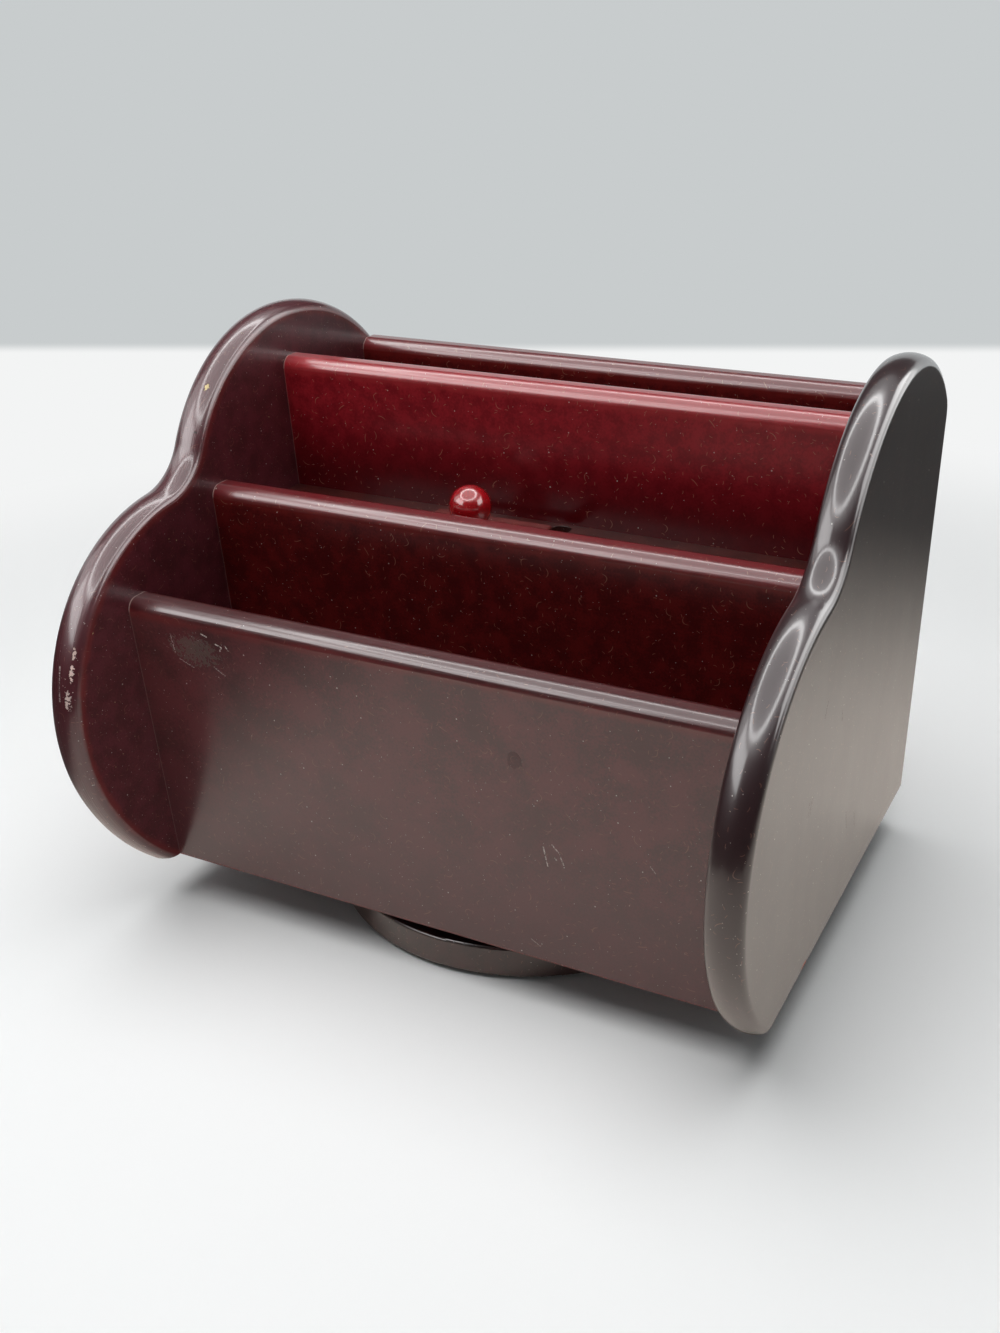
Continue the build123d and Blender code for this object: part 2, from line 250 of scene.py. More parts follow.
@dataclass(frozen=True)
class FlecksLayer:
    """Short curved fibres that show through or lie on a surface, one to a cell.

    Sizes are in millimetres. The share is the part of the cells that holds a fibre. Real fibres are finer
    than the render shows, so they are drawn wider.
    """

    cell: float
    length: float
    width: float
    share: float
    core: float = 0.3

    def mask(self, tree: Tree, plane: Link) -> Node:
        """Add the layer's nodes.

        Args:
            tree: The material's tree.
            plane: Flat coordinates in millimetres.

        Returns:
            A float that is one on a fibre.
        """
        inputs = {"Vector": plane, "Scale": 1 / self.cell}
        cells = add_node(tree, Kind.CELLS, inputs, voronoi_dimensions="2D").outputs
        chance = add_node(tree, Kind.CHANNELS, (cells["Color"],)).outputs
        offset = add_node(tree, Kind.VECTOR, (plane, cells["Position"]), operation="SUBTRACT")
        angle = add_node(tree, Kind.MATH, (chance["Red"], math.tau), operation="MULTIPLY")
        inputs = {"Vector": offset, "Angle": angle}
        turned = add_node(tree, "ShaderNodeVectorRotate", inputs, rotation_type="Z_AXIS")
        local = add_node(tree, Kind.SPLIT, (turned,)).outputs
        square = add_node(tree, Kind.MATH, (local["X"], 2.0), operation="POWER")
        curl = add_node(tree, Kind.MATH, (chance["Green"], 0.5), operation="SUBTRACT")
        bend = add_node(tree, Kind.MATH, (square, curl, local["Y"]), operation="MULTIPLY_ADD")
        beside = add_node(tree, Kind.MATH, (bend,), operation="ABSOLUTE")
        along = add_node(tree, Kind.MATH, (local["X"],), operation="ABSOLUTE")
        thin = fade(tree, beside, self.core * self.width, self.width)
        short = fade(tree, along, self.core * self.length, 0.5 * self.length)
        held = add_node(tree, Kind.MATH, (chance["Blue"], self.share), operation="LESS_THAN")
        body = add_node(tree, Kind.MATH, (thin, short), operation="MULTIPLY")
        return add_node(tree, Kind.MATH, (body, held), operation="MULTIPLY")


@dataclass(frozen=True)
class DustLayer:
    """Round dust specks, one to a cell, of differing size.

    Sizes are in millimetres. The share is the part of the cells that holds a speck. Real dust is finer
    than the render shows, so it is drawn coarser.
    """

    cell: float
    radius: float
    share: float
    core: float = 0.6

    def mask(self, tree: Tree, plane: Link) -> Node:
        """Add the layer's nodes.

        Args:
            tree: The material's tree.
            plane: Flat coordinates in millimetres.

        Returns:
            A float that is one on a speck.
        """
        inputs = {"Vector": plane, "Scale": 1 / self.cell}
        cells = add_node(tree, Kind.CELLS, inputs, voronoi_dimensions="2D").outputs
        chance = add_node(tree, Kind.CHANNELS, (cells["Color"],)).outputs
        size = add_node(tree, Kind.MATH, (chance["Red"], self.radius / self.cell), operation="MULTIPLY")
        ratio = add_node(tree, Kind.MATH, (cells["Distance"], size), operation="DIVIDE")
        spot = fade(tree, ratio, self.core, 1.0)
        held = add_node(tree, Kind.MATH, (chance["Blue"], self.share), operation="LESS_THAN")
        return add_node(tree, Kind.MATH, (spot, held), operation="MULTIPLY")


@dataclass(frozen=True)
class ChipCluster:
    """Chips or a rubbed patch in the lacquer, inside an ellipsoid of the piece's frame, in millimetres."""

    centre: Triple
    reach: Triple
    grain: float
    cover: float
    colour: str
    strength: float = 1.0
    core: float = 0.2
    edge: tuple[float, float] = (0.78, 0.72)

    def mask(self, tree: Tree, place: Link) -> Node:
        """Add the cluster's nodes.

        Args:
            tree: The material's tree.
            place: The piece's coordinates in millimetres.

        Returns:
            A float that is one where the lacquer has gone.
        """
        offset = add_node(tree, Kind.VECTOR, (place, self.centre), operation="SUBTRACT")
        share = add_node(tree, Kind.VECTOR, (offset, self.reach), operation="DIVIDE")
        distance = add_node(tree, Kind.VECTOR, (share,), operation="LENGTH")
        inputs = {"Vector": place, "Scale": 1 / self.grain, "Detail": 3.0, "Roughness": 0.6}
        noise = add_node(tree, Kind.NOISE, inputs)
        inside = fade(tree, distance, self.core, 1.0)
        level = add_node(tree, Kind.MATH, (inside, self.cover, noise), operation="MULTIPLY_ADD")
        bare = fade(tree, level, *self.edge)
        return add_node(tree, Kind.MATH, (bare, self.strength), operation="MULTIPLY")


@dataclass(frozen=True)
class Scratch:
    """A straight broken scratch between two points of the piece's frame, in millimetres."""

    start: Triple
    end: Triple
    width: float
    strength: float = 1.0
    colour: str = "E6DAD2"
    core: float = 0.3
    breaks: float = 1.6
    edge: tuple[float, float] = (0.52, 0.44)

    def mask(self, tree: Tree, place: Link) -> Node:
        """Add the scratch's nodes.

        Args:
            tree: The material's tree.
            place: The piece's coordinates in millimetres.

        Returns:
            A float that is one on the scratch.
        """
        run = Vector(self.end) - Vector(self.start)
        offset = add_node(tree, Kind.VECTOR, (place, self.start), operation="SUBTRACT")
        reach = add_node(tree, Kind.VECTOR, (offset, run / run.length_squared), operation="DOT_PRODUCT")
        share = add_node(tree, Kind.MATH, (reach, 0.0), operation="ADD", use_clamp=True)
        nearest = add_node(tree, Kind.VECTOR, (tuple(run), share), operation="SCALE")
        gap = add_node(tree, Kind.VECTOR, (offset, nearest), operation="DISTANCE")
        inputs = {"Vector": place, "Scale": self.breaks, "Detail": SMOOTH_NOISE}
        broken = fade(tree, add_node(tree, Kind.NOISE, inputs), *self.edge)
        line = fade(tree, gap, self.core * self.width, self.width)
        body = add_node(tree, Kind.MATH, (line, broken), operation="MULTIPLY")
        return add_node(tree, Kind.MATH, (body, self.strength), operation="MULTIPLY")


@dataclass(frozen=True)
class PaintedLightBand:
    """A band of painted light: a second colour over the lower part of a board, between two heights in
    millimetres.
    """

    colour: str
    low: float
    high: float
    share: float


@dataclass(frozen=True)
class Lacquer:
    """Sprayed semi-gloss lacquer over stained fibreboard.

    It gives the eye a deep colour under a clear skin: soft reflections, thin redder lacquer along the routed
    edges, fibres that show through, settled dust and a few chips down to the bare board. Sizes are in
    millimetres.
    """

    name: str
    deep: str
    light: str
    thin: str
    crest: str
    edge_share: float = 0.6
    crest_share: float = 0.85
    # A pale film over the whole colour: partly settled dust, partly painted sheen that adds the grey the
    # coat's reflection lacks.
    dust_and_sheen: float = 0.004
    dust_and_sheen_colour: str = "B9B4B0"
    smudge: float = 0.015
    lines: float = 0.08
    under_gloss: float = 0.5
    edge_gloss: float = 0.5
    face_coat: float = 1.0
    fibre_share: float = 0.3
    fibre_colour: str = "A87460"
    dust_share: float = 0.55
    dust_colour: str = "D8CFC8"
    dust_dulling: float = 0.5
    end_line: float = 0.0
    end_colour: str = "C8A8A0"
    end_reach: tuple[float, float] = (0.1, 0.8)
    end_share: tuple[float, float] = (0.2, 0.75)
    # Band of painted light over the lower part of the board, if any.
    shade: PaintedLightBand | None = None
    ior: float = 1.5
    base_roughness: float = 0.32
    bare_roughness: float = 0.8
    coat_roughness: float = 0.17
    mottle_size: float = 7.0
    mottle_edge: tuple[float, float] = (0.62, 0.38)
    raggedness: float = 3.0
    worn_edge: tuple[float, float] = (-1.6, 1.2)
    round_reach: tuple[float, float] = (1.0, 0.0)
    crest_reach: tuple[float, float] = (2.5, 0.5)
    lines_reach: tuple[float, float] = (0.6, -0.2)
    grain_size: float = 0.9
    grain_share: float = 0.4
    peel_size: float = 2.2
    peel_height: float = 0.004
    chip_depth: float = 0.25
    line_size: float = 1 / 1.4
    line_stretch: float = 0.02
    smudge_size: Triple = (22.0, 22.0, 50.0)
    fibres: tuple[FlecksLayer, ...] = (FlecksLayer(5.0, 1.8, 0.16, 0.55), FlecksLayer(13.0, 4.5, 0.2, 0.35))
    dust: tuple[DustLayer, ...] = (DustLayer(11.0, 0.38, 0.5), DustLayer(4.0, 0.2, 0.35))
    chips: tuple[ChipCluster, ...] = ()
    scratches: tuple[Scratch, ...] = ()

    def material(self) -> Material:
        """Build the material.

        Returns:
            The finished material.
        """
        material, tree, shader = new_material(self.name)
        place = place_mm(tree)
        plane = face_place(tree, place)
        near, run = (
            add_node(tree, Kind.ATTRIBUTE, attribute_name=edge.value).outputs["Fac"] for edge in EdgeAttribute
        )
        rounded = self.past_arris(tree, near, self.round_reach)
        colour = self.body_colour(tree, place, near)
        fibre = self.joined(tree, [layer.mask(tree, plane) for layer in self.fibres])
        colour = self.laid(tree, colour, self.fibre_colour, self.scaled(tree, fibre, self.fibre_share))
        specks = self.joined(tree, [layer.mask(tree, plane) for layer in self.dust])
        colour = self.laid(tree, colour, self.dust_colour, self.scaled(tree, specks, self.dust_share))
        if self.end_line:
            colour = self.laid(tree, colour, self.end_colour, self.worn_ends(tree, place, rounded))
        damage = []
        for mark in (*self.chips, *self.scratches):
            damage.append(mark.mask(tree, place))
            colour = self.laid(tree, colour, mark.colour, damage[-1])
        gone = self.joined(tree, damage) if damage else self.scaled(tree, specks, self.dust_dulling)
        gloss = {"Value": rounded, "To Min": self.under_gloss, "To Max": self.edge_gloss}
        skin = add_node(tree, Kind.RANGE, {"Value": rounded, "To Min": self.face_coat, "To Max": 1.0})
        set_shader(tree, shader, {
            "Base Color": colour,
            "Roughness": self.gloss(tree, place, gone),
            "Normal": self.relief(tree, place, near, run, gone if damage else None),
            "IOR": self.ior,
            "Specular IOR Level": add_node(tree, Kind.RANGE, gloss),
            "Coat Weight": add_node(tree, Kind.RANGE, {"Value": gone, "To Min": skin, "To Max": 0.0}),
            "Coat Roughness": self.coat_roughness,
        })
        return material

    def past_arris(self, tree: Tree, near: Link, reach: tuple[float, float]) -> Node:
        """Add a mask that is one from the first reach past an arris on, and zero up to the second."""
        return fade(tree, near, EDGE_REACH + reach[0], EDGE_REACH + reach[1])

    def scaled(self, tree: Tree, value: Link, share: float) -> Node:
        """Add a factor to a mask, and give the result."""
        return add_node(tree, Kind.MATH, (value, share), operation="MULTIPLY")

    def laid(self, tree: Tree, under: Link, colour: str, mask: Link | float) -> Node:
        """Lay a colour over another where a mask is one, and give the result."""
        return add_node(tree, Kind.MIX, (mask, under, linear(colour)), data_type="RGBA")

    def joined(self, tree: Tree, masks: Sequence[Link]) -> Link:
        """Add the largest of several masks.

        Args:
            tree: The material's tree.
            masks: Floats.

        Returns:
            A float.
        """
        result = masks[0]
        for mask in masks[1:]:
            result = add_node(tree, Kind.MATH, (result, mask), operation="MAXIMUM")
        return result

    def worn_ends(self, tree: Tree, place: Link, rounded: Link) -> Node:
        """Add the worn line where a board's ends meet the side panels, stronger on its rounded edges.

        Args:
            tree: The material's tree.
            place: The piece's coordinates in millimetres.
            rounded: One on the rounded edges.

        Returns:
            A float that is one on the line.
        """
        side = add_node(tree, Kind.SPLIT, (place,)).outputs["X"]
        across = add_node(tree, Kind.MATH, (side,), operation="ABSOLUTE")
        start, end = (self.end_line - reach for reach in self.end_reach)
        joint = fade(tree, across, start, end)
        low, high = self.end_share
        worn = add_node(tree, Kind.RANGE, {"Value": rounded, "To Min": low, "To Max": high})
        return add_node(tree, Kind.MATH, (joint, worn), operation="MULTIPLY")

    def body_colour(self, tree: Tree, place: Link, near: Link) -> Node:
        """Add the stain's cloudy colour, a band of painted light low on some boards, its thin red edges and a
        pale film that is partly dust and partly painted sheen.

        Args:
            tree: The material's tree.
            place: The piece's coordinates in millimetres.
            near: The edge attribute.

        Returns:
            A colour.
        """
        clouds = add_node(tree, Kind.NOISE, {"Vector": place, "Scale": 1 / self.mottle_size, "Detail": 4.0})
        inputs = {"Vector": place, "Scale": 1 / self.grain_size, "Detail": SMOOTH_NOISE}
        grain = add_node(tree, Kind.NOISE, inputs)
        blend = add_node(tree, Kind.MIX, (self.grain_share, clouds, grain))
        inputs = (fade(tree, blend, *self.mottle_edge), linear(self.deep), linear(self.light))
        body = add_node(tree, Kind.MIX, inputs, data_type="RGBA")
        # Band of painted light: a second colour mixed in, strongest at the low height and gone at the high one
        # (painted shade on the rear divider, a painted reflection tint on the front panel).
        if self.shade:
            height = add_node(tree, Kind.SPLIT, (place,)).outputs["Z"]
            painted_band_share = self.scaled(tree, fade(tree, height, self.shade.low, self.shade.high), self.shade.share)
            body = self.laid(tree, body, self.shade.colour, painted_band_share)
        rounded = self.scaled(tree, self.past_arris(tree, near, self.crest_reach), self.crest_share)
        body = self.laid(tree, body, self.crest, rounded)
        distance = add_node(tree, Kind.MATH, (near, EDGE_REACH), operation="SUBTRACT")
        gap = add_node(tree, Kind.MATH, (distance,), operation="ABSOLUTE")
        ragged = add_node(tree, Kind.MATH, (clouds, -self.raggedness, gap), operation="MULTIPLY_ADD")
        worn = self.scaled(tree, fade(tree, ragged, *self.worn_edge), self.edge_share)
        # Lay the pale film that is partly dust and partly painted sheen.
        return self.laid(tree, self.laid(tree, body, self.thin, worn), self.dust_and_sheen_colour, self.dust_and_sheen)

    def gloss(self, tree: Tree, place: Link, gone: Link) -> Node:
        """Add a roughness that hand smudges and bare patches change.

        Args:
            tree: The material's tree.
            place: The piece's coordinates in millimetres.
            gone: Where the lacquer has gone.

        Returns:
            A float.
        """
        stretched = add_node(tree, Kind.VECTOR, (place, self.smudge_size), operation="DIVIDE")
        smudge = add_node(tree, Kind.NOISE, {"Vector": stretched, "Scale": 1.0, "Detail": 3.0})
        ends = (self.base_roughness - self.smudge, self.base_roughness + self.smudge)
        film = add_node(tree, Kind.RANGE, (smudge, *NOISE_SPAN, *ends))
        return add_node(tree, Kind.MIX, (gone, film, self.bare_roughness))

    def relief(self, tree: Tree, place: Link, near: Link, run: Link, gone: Link | None) -> Node:
        """Add orange peel, sanding lines along the rounded edges and the depth of the chips.

        Args:
            tree: The material's tree.
            place: The piece's coordinates in millimetres.
            near: The edge attribute across the edge.
            run: The edge attribute along the edge.
            gone: Where the lacquer has gone, if anywhere.

        Returns:
            A normal.
        """
        peel = add_node(tree, Kind.NOISE, {"Vector": place, "Scale": 1 / self.peel_size, "Detail": 1.0})
        height = self.scaled(tree, peel, self.peel_height)
        lines_place = add_node(tree, Kind.JOIN, (self.scaled(tree, run, self.line_stretch), near))
        inputs = {"Vector": lines_place, "Scale": 1 / self.line_size, "Detail": SMOOTH_NOISE}
        lines = add_node(tree, Kind.NOISE, inputs, noise_dimensions="2D")
        on_round = self.past_arris(tree, near, self.lines_reach)
        ridges = add_node(tree, Kind.MATH, (lines, on_round), operation="MULTIPLY")
        height = add_node(tree, Kind.MATH, (ridges, self.lines, height), operation="MULTIPLY_ADD")
        if gone is not None:
            height = add_node(tree, Kind.MATH, (gone, -self.chip_depth, height), operation="MULTIPLY_ADD")
        return add_node(tree, Kind.BUMP, {"Height": height, "Distance": MM, "Strength": 1.0})


@dataclass(frozen=True)
class BareFinish:
    """A plain metal, plastic, wood or felt: one colour broken by fine noise, whose grain may be stretched.

    Sizes are in millimetres. Metals keep the default index of refraction.
    """

    name: str
    dark: str
    light: str
    metallic: float
    roughness: float
    grain: Triple
    grain_height: float
    ior: float = 1.5
    sheen: float = 0.0
    spread: float = 0.15

    def material(self) -> Material:
        """Build the material.

        Returns:
            The finished material.
        """
        material, tree, shader = new_material(self.name)
        stretched = add_node(tree, Kind.VECTOR, (place_mm(tree), self.grain), operation="DIVIDE")
        noise = add_node(tree, Kind.NOISE, {"Vector": stretched, "Scale": 1.0, "Detail": 4.0})
        colours = (fade(tree, noise, 0.65, 0.35), linear(self.dark), linear(self.light))
        ends = (self.roughness * (1 - self.spread), self.roughness * (1 + self.spread))
        height = add_node(tree, Kind.MATH, (noise, self.grain_height), operation="MULTIPLY")
        set_shader(tree, shader, {
            "Base Color": add_node(tree, Kind.MIX, colours, data_type="RGBA"),
            "Roughness": add_node(tree, Kind.RANGE, (noise, *NOISE_SPAN, *ends)),
            "Normal": add_node(tree, Kind.BUMP, {"Height": height, "Distance": MM, "Strength": 1.0}),
            "Metallic": self.metallic,
            "IOR": self.ior,
            "Sheen Weight": self.sheen,
        })
        return material


def mesh_object(name: str, mesh: Mesh) -> Piece:
    """Put a mesh in the scene as an object at the origin.

    Args:
        name: The object's name.
        mesh: Its mesh.

    Returns:
        The object.
    """
    piece = bpy.data.objects.new(name, mesh)
    bpy.context.scene.collection.objects.link(piece)
    return piece


def smooth_mesh(name: str, work: Work) -> Mesh:
    """Turn a bmesh into a smooth-shaded mesh, and free it.

    Args:
        name: The mesh's name.
        work: The bmesh.

    Returns:
        The mesh.
    """
    for face in work.faces:
        face.smooth = True
    mesh = bpy.data.meshes.new(name)
    work.to_mesh(mesh)
    work.free()
    return mesh


def shaped_mesh(name: str, shape: Callable[[Work], None]) -> Mesh:
    """Make a mesh by filling an empty bmesh.

    Args:
        name: The mesh's name.
        shape: What adds the vertices and faces.

    Returns:
        The mesh, smooth-shaded, with its faces outward.
    """
    work = bmesh.new()
    shape(work)
    bmesh.ops.recalc_face_normals(work, faces=work.faces)
    return smooth_mesh(name, work)


def settle(piece: Piece, bevel: float = 0.0) -> None:
    """Bevel a piece's sharp edges, weight its normals by face area and turn the result into a plain mesh.

    Args:
        piece: The piece, with any modifiers of its own.
        bevel: Width of the softened edge in millimetres, or zero for none.
    """
    if bevel:
        soft = piece.modifiers.new("soft_edges", "BEVEL")
        soft.width = bevel * MM
        soft.segments = BEVEL_STEPS
        soft.limit_method = "ANGLE"
        soft.angle_limit = math.radians(BEVEL_ANGLE)
    weighted = piece.modifiers.new("area_normals", "WEIGHTED_NORMAL")
    weighted.keep_sharp = True
    depsgraph = bpy.context.evaluated_depsgraph_get()
    evaluated = piece.evaluated_get(depsgraph)
    mesh = bpy.data.meshes.new_from_object(evaluated, preserve_all_data_layers=True, depsgraph=depsgraph)
    mesh.name = piece.name
    piece.modifiers.clear()
    piece.data = mesh


def merged_node(node: str) -> Work:
    """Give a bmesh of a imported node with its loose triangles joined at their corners.

    Args:
        node: The node's name.

    Returns:
        A new bmesh.
    """
    work = bmesh.new()
    work.from_mesh(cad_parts[node].data)
    bmesh.ops.remove_doubles(work, verts=work.verts, dist=MERGE_REACH * MM)
    return work


def cad_copy(node: str) -> Mesh:
    """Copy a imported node's mesh with its loose triangles merged into flat faces.

    Args:
        node: The node's name.

    Returns:
        A new mesh.
    """
    work = merged_node(node)
    limit = math.radians(FLAT_ANGLE)
    bmesh.ops.dissolve_limit(work, angle_limit=limit, verts=work.verts, edges=work.edges)
    mesh = smooth_mesh(node, work)
    mesh.set_sharp_from_angle(angle=math.radians(SHARP_ANGLE))
    return mesh


def separate_boxes(node: str) -> list[tuple[Vector, Vector]]:
    """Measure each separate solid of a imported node.

    Args:
        node: The node's name.

    Returns:
        The lowest and highest corner of each solid.
    """
    work = merged_node(node)
    boxes, waiting = [], set(work.verts)
    while waiting:
        group, edge = set(), [waiting.pop()]
        while edge:
            vert = edge.pop()
            group.add(vert)
            linked = {link.other_vert(vert) for link in vert.link_edges} & waiting
            waiting -= linked
            edge.extend(linked)
        places = [vert.co for vert in group]
        boxes.append((Vector(map(min, zip(*places))), Vector(map(max, zip(*places)))))
    work.free()
    return boxes


def add_piece(piece: Piece, material: Material, body: Body, slot: Slot, *nodes: str) -> None:
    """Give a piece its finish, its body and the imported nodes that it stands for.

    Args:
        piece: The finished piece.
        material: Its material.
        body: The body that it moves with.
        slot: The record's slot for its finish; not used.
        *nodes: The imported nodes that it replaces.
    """
    piece.data.materials.clear()
    piece.data.materials.append(material)
    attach(piece, body.value)
    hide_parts(*nodes)
    LOG.info("%s on %s, %d faces", piece.name, body.value, len(piece.data.polygons))


def add_copy(node: str, ending: str, bevel: float, material: Material, body: Body, slot: Slot) -> None:
    """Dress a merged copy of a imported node.

    Args:
        node: The node's name.
        ending: What the piece's name adds to it.
        bevel: Width of its softened edges in millimetres, or zero.
        material: Its material.
        body: The body that it moves with.
        slot: The record's slot for its finish.
    """
    piece = mesh_object(f"{node}_{ending}", cad_copy(node))
    settle(piece, bevel)
    add_piece(piece, material, body, slot, node)


def geometry_tree(name: str, sizes: Sequence[str]) -> tuple[Tree, Outputs]:
    """Start a geometry tree with a geometry input, named sizes and a geometry output.

    Args:
        name: The tree's name.
        sizes: Names of its float inputs.

    Returns:
        The tree and what its group input gives.
    """
    tree = bpy.data.node_groups.new(name, "GeometryNodeTree")
    tree.interface.new_socket("Geometry", in_out="INPUT", socket_type="NodeSocketGeometry")
    for size in sizes:
        tree.interface.new_socket(size, in_out="INPUT", socket_type="NodeSocketFloat")
    tree.interface.new_socket("Geometry", in_out="OUTPUT", socket_type="NodeSocketGeometry")
    return tree, add_node(tree, "NodeGroupInput").outputs


def end_tree(tree: Tree, geometry: Link, material: Material) -> None:
    """End a geometry tree in real, smooth geometry with a material.

    Args:
        tree: The tree.
        geometry: What it has made.
        material: The material for all of it.
    """
    smooth = add_node(tree, "GeometryNodeSetShadeSmooth", {"Geometry": geometry})
    real = add_node(tree, "GeometryNodeRealizeInstances", {"Geometry": smooth})
    dressed = add_node(tree, "GeometryNodeSetMaterial", {"Geometry": real, "Material": material})
    add_node(tree, "NodeGroupOutput", {"Geometry": dressed})


def swept_along_x(tree: Tree, profile: Link, length: Link) -> Node:
    """Add a solid swept along X, half its length to either side of the middle.

    Args:
        tree: The geometry tree.
        profile: The curve that is swept.
        length: The solid's length.

    Returns:
        The swept mesh.
    """
    halves = (add_node(tree, Kind.MATH, (length, share), operation="MULTIPLY") for share in (-0.5, 0.5))
    start, end = (add_node(tree, Kind.JOIN, {"X": half}) for half in halves)
    rail = add_node(tree, "GeometryNodeCurvePrimitiveLine", {"Start": start, "End": end}, mode="POINTS")
    return add_node(tree, Kind.SWEEP, {"Curve": rail, "Profile Curve": profile, "Fill Caps": True})


def end_on_points(tree: Tree, mesh: Socket, inputs: dict[str, Link], material: Material) -> None:
    """End a geometry tree with one instance on each point of the piece's mesh.

    Args:
        tree: The tree.
        mesh: The piece's mesh.
        inputs: The instance, and its rotation if it has one.
        material: The instances' material.
    """
    points = add_node(tree, "GeometryNodeMeshToPoints", {"Mesh": mesh})
    end_tree(tree, add_node(tree, "GeometryNodeInstanceOnPoints", {"Points": points} | inputs), material)


def grown(name: str, places: Sequence[Vector], tree: Tree, sizes: dict[str, float]) -> Piece:
    """Add a piece that carries a geometry tree, and set its sizes by their identifiers.

    Args:
        name: The piece's name.
        places: The points that the tree grows on, in metres.
        tree: The geometry tree.
        sizes: Input names with their values.

    Returns:
        The piece, not settled yet.
    """
    mesh = bpy.data.meshes.new(name)
    mesh.from_pydata([tuple(place) for place in places], [], [])
    piece = mesh_object(name, mesh)
    modifier = piece.modifiers.new(tree.name, "NODES")
    modifier.node_group = tree
    for socket in tree.interface.items_tree:
        if socket.in_out == "INPUT" and socket.name in sizes:
            modifier[socket.identifier] = sizes[socket.name]
    return piece


def mark_edges(mesh: Mesh, near: Sequence[float], run: Sequence[float]) -> None:
    """Write both edge attributes of a mesh, one value to a vertex."""
    for attribute, values in ((EdgeAttribute.NEAR, near), (EdgeAttribute.RUN, run)):
        mesh.attributes.new(attribute.value, "FLOAT", "POINT").data.foreach_set("value", values)


@dataclass
class SidePanels:
    """The two wavy side panels: a belly, a notch, a lobe and a rear corner, rounded over on both faces.

    Sizes are in millimetres; heights are above the rack's underside and setbacks are from the box's ends.
    """

    finishes: dict[str, Lacquer]
    belly_radius: float = 86.0
    belly_height: float = 73.5
    belly_setback: float = 45.0
    lower_belly_radius: float = 112.0
    lower_belly_angle: float = 18.0
    notch_radius: float = 29.0
    lobe_radius: float = 87.0
    lobe_height: float = 131.0
    lobe_setback: float = 66.0
    corner_radius: float = 16.0
    edge_round: float = 4.0
    edge_steps: int = 8
    crown_radius: float = 12.0
    crown_steps: int = 6
    arc_step: float = 1.6
    flat_bands: tuple[float, ...] = (4.0, 1.6, 0.5)
    crease: float = 50.0

    def build(self) -> None:
        """Build and dress both panels."""
        for node, finish in self.finishes.items():
            low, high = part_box(node)
            outward = 1.0 if high.x > 0 else -1.0
            inner = min(abs(low.x), abs(high.x)) / MM * outward
            mesh = self.panel_mesh(node, inner, outward, (high.x - low.x) / MM)
            piece = mesh_object(f"{node}_lacquered", mesh)
            settle(piece)
            add_piece(piece, finish.material(), Body.CAROUSEL, Slot.BOARD, node)

    def arcs(self) -> list[tuple[Vector, float, float, float, int]]:
        """Work out the outline's arcs from the sizes and the frame.

        Returns:
            Centre (y, z), radius, start angle, end angle and the sign of an inset, for each arc.
        """
        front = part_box("front_panel")[0].y / MM
        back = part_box("back_panel")[1].y / MM
        rear_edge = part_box("left_side_panel")[1].y / MM
        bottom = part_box("left_side_panel")[0].z / MM
        belly = Vector((front + self.belly_setback, bottom + self.belly_height))
        lobe = Vector((back - self.lobe_setback, bottom + self.lobe_height))
        lower_turn = math.pi + math.radians(self.lower_belly_angle)
        toward = Vector((math.cos(lower_turn), math.sin(lower_turn)))
        lower = belly + toward * (self.belly_radius - self.lower_belly_radius)
        belly_reach = self.belly_radius + self.notch_radius
        notch = self.meeting(belly, belly_reach, lobe, self.lobe_radius + self.notch_radius)
        corner_y = rear_edge - self.corner_radius
        rise = math.sqrt((self.lobe_radius - self.corner_radius) ** 2 - (corner_y - lobe.x) ** 2)
        corner = Vector((corner_y, lobe.y + rise))
        start = math.pi + math.asin((lower.y - bottom) / self.lower_belly_radius)
        notch_start = self.turn_to(notch, belly) + math.tau
        notch_end = self.turn_to(notch, lobe) + math.tau
        return [
            (lower, self.lower_belly_radius, start, lower_turn, -1),
            (belly, self.belly_radius, lower_turn, self.turn_to(belly, notch), -1),
            (notch, self.notch_radius, notch_start, notch_end, 1),
            (lobe, self.lobe_radius, self.turn_to(lobe, notch), self.turn_to(lobe, corner), -1),
            (corner, self.corner_radius, self.turn_to(lobe, corner), 0.0, -1),
        ]

    def turn_to(self, centre: Vector, target: Vector) -> float:
        """Give the angle of the direction from one point to another."""
        return math.atan2(target.y - centre.y, target.x - centre.x)

    def meeting(self, first: Vector, first_radius: float, second: Vector, second_radius: float) -> Vector:
        """Find where two circles cross, to the left when looking from the first centre to the second.

        Args:
            first: First centre.
            first_radius: First radius.
            second: Second centre.
            second_radius: Second radius.

        Returns:
            The crossing point.
        """
        span = second - first
        along = (span.length_squared + first_radius**2 - second_radius**2) / (2 * span.length)
        beside = math.sqrt(first_radius**2 - along**2)
        forward = span.normalized()
        return first + forward * along + Vector((-forward.y, forward.x)) * beside

    def outline(self, inset: float) -> list[Vector]:
        """Sample the outline at an inset, from the front end of the bottom edge round to its back end.

        Args:
            inset: Distance inside the crest, in millimetres.

        Returns:
            Points (y, z); every inset has as many.
        """
        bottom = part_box("left_side_panel")[0].z / MM
        points: list[Vector] = []
        for index, (centre, radius, start, end, sign) in enumerate(self.arcs()):
            count = max(4, round(abs(end - start) * radius / self.arc_step))
            reach = radius + sign * inset
            first = math.pi + math.asin((centre.y - bottom) / reach) if index == 0 else start
            for step in range(1 if index else 0, count + 1):
                angle = first + (end - first) * step / count
                points.append(centre + Vector((math.cos(angle), math.sin(angle))) * reach)
        top = points[-1]
        straight = max(4, round((top.y - bottom) / (4 * self.arc_step)))
        for step in range(1, straight + 1):
            points.append(Vector((top.x, top.y + (bottom - top.y) * step / straight)))
        return points

